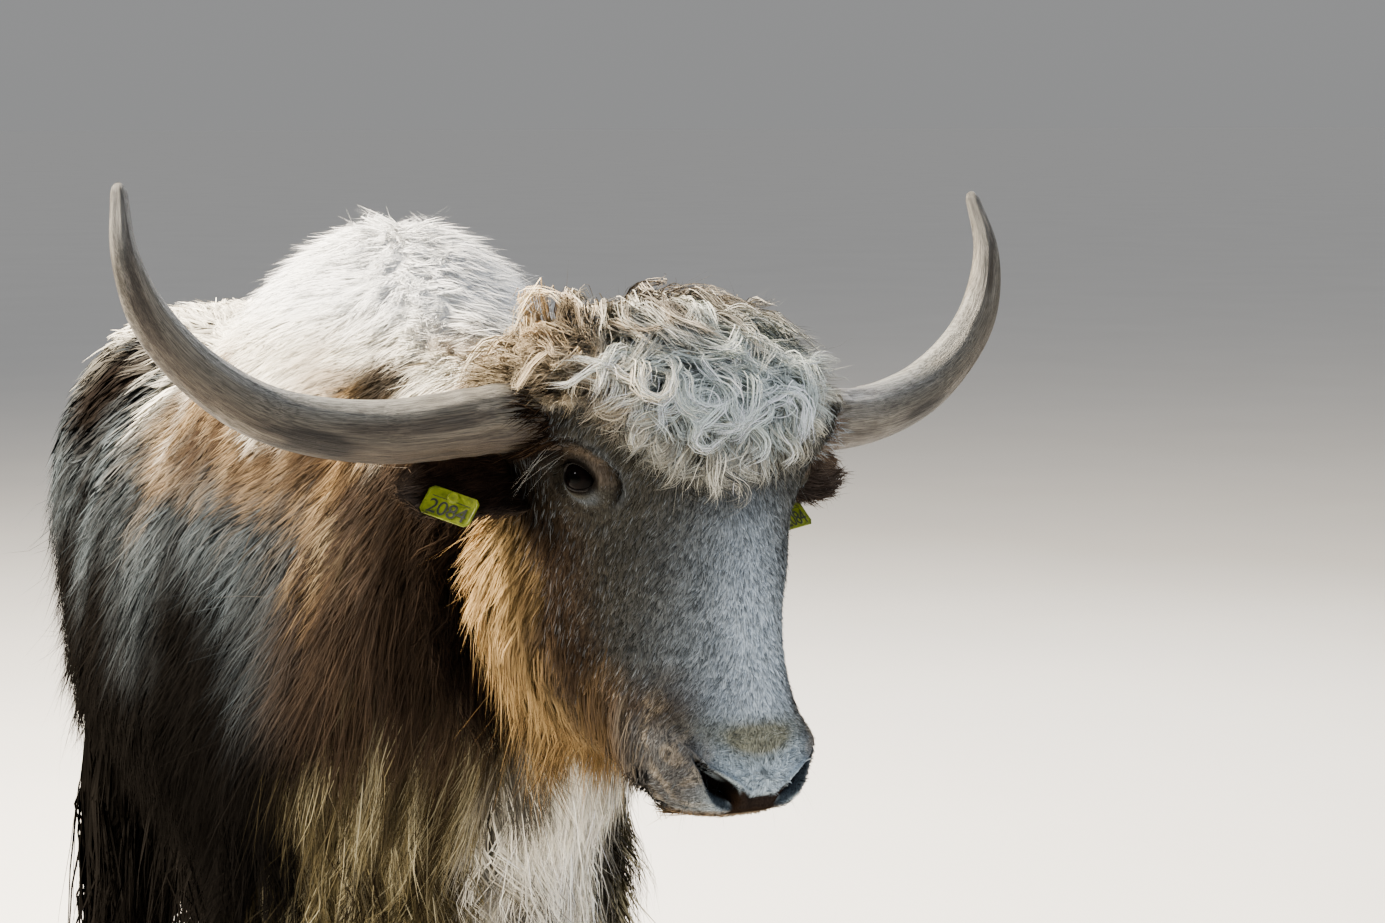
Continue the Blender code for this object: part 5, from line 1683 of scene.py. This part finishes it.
# ------------------------------------------------------------------ horns
def make_horn(label, path):
    """A tapering sheath with growth rings and chips near its root and a smooth tip."""
    marks = np.linspace(0, 1, len(path))
    line = np.array(path)

    def middle(run):
        return np.stack([smooth_read(marks, line[:, k], run) for k in range(3)], 1)

    def spot(turn, run):
        reach = np.minimum(run, HORN_TIP) / HORN_TIP * 0.978
        centre = middle(reach)
        along = unit(middle(np.minimum(reach + 0.01, 1.0)) - middle(np.maximum(reach - 0.01, 0.0)))
        across = unit(np.cross(along, (0.0, 1.0, 0.0)))
        other = np.cross(along, across)
        angle = turn * 2 * math.pi
        radius = smooth_read(marks, HORN_RADII, reach)
        wrap = np.stack([np.cos(angle), np.sin(angle), reach * 3.0], 1)
        wear = 0.0006 * ripple(wrap, 0.9, 41) + 0.0005 * ripple(wrap * (1, 1, 0.25), 0.35, 42)
        rings = 0.0007 * np.sin(reach * 150 + 2 * ripple(wrap, 1.6, 43)) * ease(0.30, 0.10, reach)
        chip = -0.0022 * ease(0.55, 0.8, ripple(wrap * (1, 1, 2.0), 0.9, 44)) * ease(0.34, 0.16, reach)
        radius = radius + (wear + rings + chip) * ease(0.0, 0.05, reach)
        last = ((run - HORN_TIP) / 0.045).clip(0, 1)
        radius = radius * np.sqrt(np.clip(1 - last ** 2, 0, 1))
        tip = along * (0.014 * last)[:, None]
        ring = across * np.cos(angle)[:, None] + other * np.sin(angle)[:, None]
        q = centre + tip + ring * radius[:, None]
        closed = (run <= 0)[:, None]
        return from_head(np.where(closed, centre, q))

    horn = rolled(f"horn_sheath_{label}", 48, 190, spot)
    q = to_head(spots_of(horn.data))
    run = np.linspace(0, 1, 3000)
    samples = middle(run)
    near = np.array([np.argmin(((samples - point) ** 2).sum(1)) for point in q])
    reach = run[near]
    rel = unit(q - samples[near])
    wrap = np.stack([rel[:, 0], rel[:, 2], reach * 3.0], 1)
    patch = bell(reach - 0.39, 0.055) * ease(0.10, -0.45, rel[:, 2])
    write_colours(horn.data, laid(colour("#565249"), len(q), (
        # painted light on the horn's top and painted shade on its underside
        (colour("#7f807c"), 0.72 * ease(0.1, 0.9, rel[:, 2]) * ease(0.15, 0.4, reach)),
        (colour("#372d22"), 0.85 * ease(0.25, -0.75, rel[:, 2])),
        (colour("#322a22"), 0.7 * ease(0.2, 0.8, ripple(wrap, 1.3, 51))),
        (colour("#7c766b"), 0.45 * ease(0.3, 0.9, ripple(wrap * (1, 1, 0.6), 0.8, 52))),
        (colour("#0e0a08"), np.clip(2.2 * patch * (0.7 + 0.5 * ripple(wrap, 0.5, 53)), 0, 0.9)),
        (colour("#3b2e25"), 0.6 * ease(0.14, 0.03, reach)),
        (colour("#66645f"), 0.7 * ease(0.80, 0.97, reach)),
    )))
    layer = horn.data.attributes.new("grain", "FLOAT_VECTOR", "POINT")
    layer.data.foreach_set("vector", wrap.astype(np.float32).ravel())
    horn.data.materials.append(horn_material())
    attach(horn, "root")
    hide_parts(f"horn_{label}")


# ------------------------------------------------------------------ hooves
def make_hooves():
    """Each foot's two claws and its dewclaws, with faint growth rings."""
    material = hoof_material()
    for place in ("front", "hind"):
        for label in ("left", "right"):
            names = [f"hoof_{place}_{label}"]
            names += [f"dewclaw_{place}_{label}_{half}" for half in ("inner", "outer")]
            hoof = voxelled(merged_copy(f"hoof_wall_{place}_{label}", names), HOOF_VOXEL, 5)
            spots = spots_of(hoof.data)
            spots[:, 2] = np.where(spots[:, 2] < 0.0045, spots[:, 2].clip(0, 1) * 0.5, spots[:, 2])
            ridge = 0.0007 * np.sin(spots[:, 2] / 0.0065 * 2 * math.pi) * ease(0.004, 0.012, spots[:, 2])
            spots = spots + normals_of(hoof.data) * ridge[:, None] * (1, 1, 0)
            move_spots(hoof.data, spots)
            hoof.data.materials.clear()
            hoof.data.materials.append(material)
            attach(hoof, "root")
            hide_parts(*names)


# ------------------------------------------------------------------ ear tags
def tag_matrix(side):
    middle, (turn, tilt, lean) = TAG_LEFT if side > 0 else TAG_RIGHT
    spin = (Matrix.Rotation(math.radians(turn), 4, "Z") @ Matrix.Rotation(math.radians(tilt), 4, "X")
            @ Matrix.Rotation(math.radians(lean), 4, "Y"))
    return head_matrix() @ Matrix.Translation(middle) @ spin


def make_tag(label, side):
    """The plate with clipped corners and a raised edge, its button, its line and its plain digits."""
    place = tag_matrix(side)
    bm = bmesh.new()
    w, h, t = TAG_WIDTH / 2, TAG_HEIGHT / 2, TAG_THICKNESS / 2
    corners = ((-w + TAG_CLIP, -h), (w - TAG_CLIP, -h), (w, -h + TAG_CLIP), (w, h - TAG_CLIP),
               (w - TAG_CLIP, h), (-w + TAG_CLIP, h), (-w, h - TAG_CLIP), (-w, -h + TAG_CLIP))
    face = bm.faces.new([bm.verts.new((u, t, v)) for u, v in corners])
    pushed = bmesh.ops.extrude_face_region(bm, geom=[face])
    moved = [item for item in pushed["geom"] if isinstance(item, bmesh.types.BMVert)]
    bmesh.ops.translate(bm, vec=(0, -2 * t, 0), verts=moved)
    bmesh.ops.recalc_face_normals(bm, faces=bm.faces)
    bmesh.ops.bevel(bm, geom=list(bm.edges), offset=0.0005, segments=3, profile=0.5, affect="EDGES",
                    material=-1)
    # the front is pressed in inside its edge
    front = max(bm.faces, key=lambda f: f.calc_area() * (f.normal.y < -0.9))
    bmesh.ops.inset_region(bm, faces=[front], thickness=0.0014)
    bmesh.ops.inset_region(bm, faces=[front], thickness=0.0004, depth=-0.0003)
    for y, sides, bottom, top, depth in ((-0.0016, 32, 0.0062, 0.0046, 0.0022),
                                         (0.006, 24, 0.0034, 0.0034, 0.014)):
        seat = Matrix.Translation((0, y, 0.009)) @ Matrix.Rotation(math.pi / 2, 4, "X")
        bmesh.ops.create_cone(bm, cap_ends=True, segments=sides, radius1=bottom, radius2=top,
                              depth=depth, matrix=seat)
    bmesh.ops.transform(bm, matrix=place, verts=bm.verts)
    tag = from_bmesh(f"tag_plate_{label}", bm)
    tag.data.set_sharp_from_angle(angle=math.radians(35))
    tag.data.materials.append(tag_material())
    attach(tag, "root")
    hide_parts(f"ear_tag_{label}")

    curve = bpy.data.curves.new(f"digits_{label}", "FONT")
    curve.body = TAG_DIGITS
    curve.size = 0.0205
    curve.align_x = "CENTER"
    curve.extrude = 0.00012
    curve.space_character = 0.95
    text = add_object(f"digits_{label}_text", curve)
    graph = bpy.context.evaluated_depsgraph_get()
    mesh = bpy.data.meshes.new_from_object(text.evaluated_get(graph))
    bpy.data.objects.remove(text)
    spots = spots_of(mesh)
    plane = np.stack([spots[:, 0] * 0.98, -t - 0.00005 + spots[:, 2] * 0, spots[:, 1] * 1.05 - 0.0125], 1)
    plane[:, 1] -= spots[:, 2]
    move_spots(mesh, plane @ np.array(place)[:3, :3].T + np.array(place)[:3, 3])
    bm = bmesh.new()
    bm.from_mesh(mesh)
    line = Matrix.Translation((0, -t - 0.00012, 0.0052)) @ Matrix.Diagonal((0.038, 0.00024, 0.0006, 1))
    bmesh.ops.create_cube(bm, size=1.0, matrix=place @ line)
    bmesh.ops.recalc_face_normals(bm, faces=bm.faces)
    digits = from_bmesh(f"tag_digits_{label}", bm, smooth=False)
    digits.data.materials.clear()
    digits.data.materials.append(ink_material())
    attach(digits, "root")


# ------------------------------------------------------------------ stage
def make_camera():
    data = bpy.data.cameras.new("camera")
    data.lens = CAMERA_LENS
    data.sensor_width = CAMERA_SENSOR
    data.clip_end = 200
    camera = bpy.data.objects.new("camera", data)
    camera.location = CAMERA_PLACE
    camera.rotation_euler = (math.radians(90 - CAMERA_DIP), 0, math.radians(CAMERA_AZIMUTH))
    bpy.context.scene.collection.objects.link(camera)
    bpy.context.scene.camera = camera


def add_light(name, place, target, size, power, code):
    data = bpy.data.lights.new(name, "AREA")
    data.shape = "DISK"
    data.size = size
    data.energy = power
    data.color = colour(code)
    light = bpy.data.objects.new(name, data)
    light.location = place
    light.rotation_euler = (Vector(target) - Vector(place)).to_track_quat("-Z", "Y").to_euler()
    bpy.context.scene.collection.objects.link(light)


def make_stage():
    bm = bmesh.new()
    bmesh.ops.create_grid(bm, x_segments=8, y_segments=8, size=160)
    floor = from_bmesh("floor", bm, smooth=False)
    floor.data.materials.append(floor_material())
    for name, light in LIGHTS.items():
        add_light(name, *light)
    world = bpy.data.worlds.new("studio")
    world.use_nodes = True
    tree = world.node_tree
    way = add_node(tree, "ShaderNodeTexCoord").outputs["Generated"]
    height = add_node(tree, "ShaderNodeSeparateXYZ", {0: way}).outputs["Z"]
    room = set_ramp(add_node(tree, "ShaderNodeValToRGB", {0: height}), ROOM_SHADES)
    fill(tree.nodes["Background"], {"Color": room, "Strength": 1.0})
    bpy.context.scene.world = world


def main():
    for label, side in (("left", 1), ("right", -1)):
        make_eye(label, side)
        make_lid_rim(label, side)
        make_tag(label, side)
    make_horn("left", HORN_LEFT)
    make_horn("right", HORN_RIGHT)
    make_hooves()
    make_coat()
    forelock()
    tail_brush()
    horn_roots()
    lashes()
    make_camera()
    make_stage()


main()
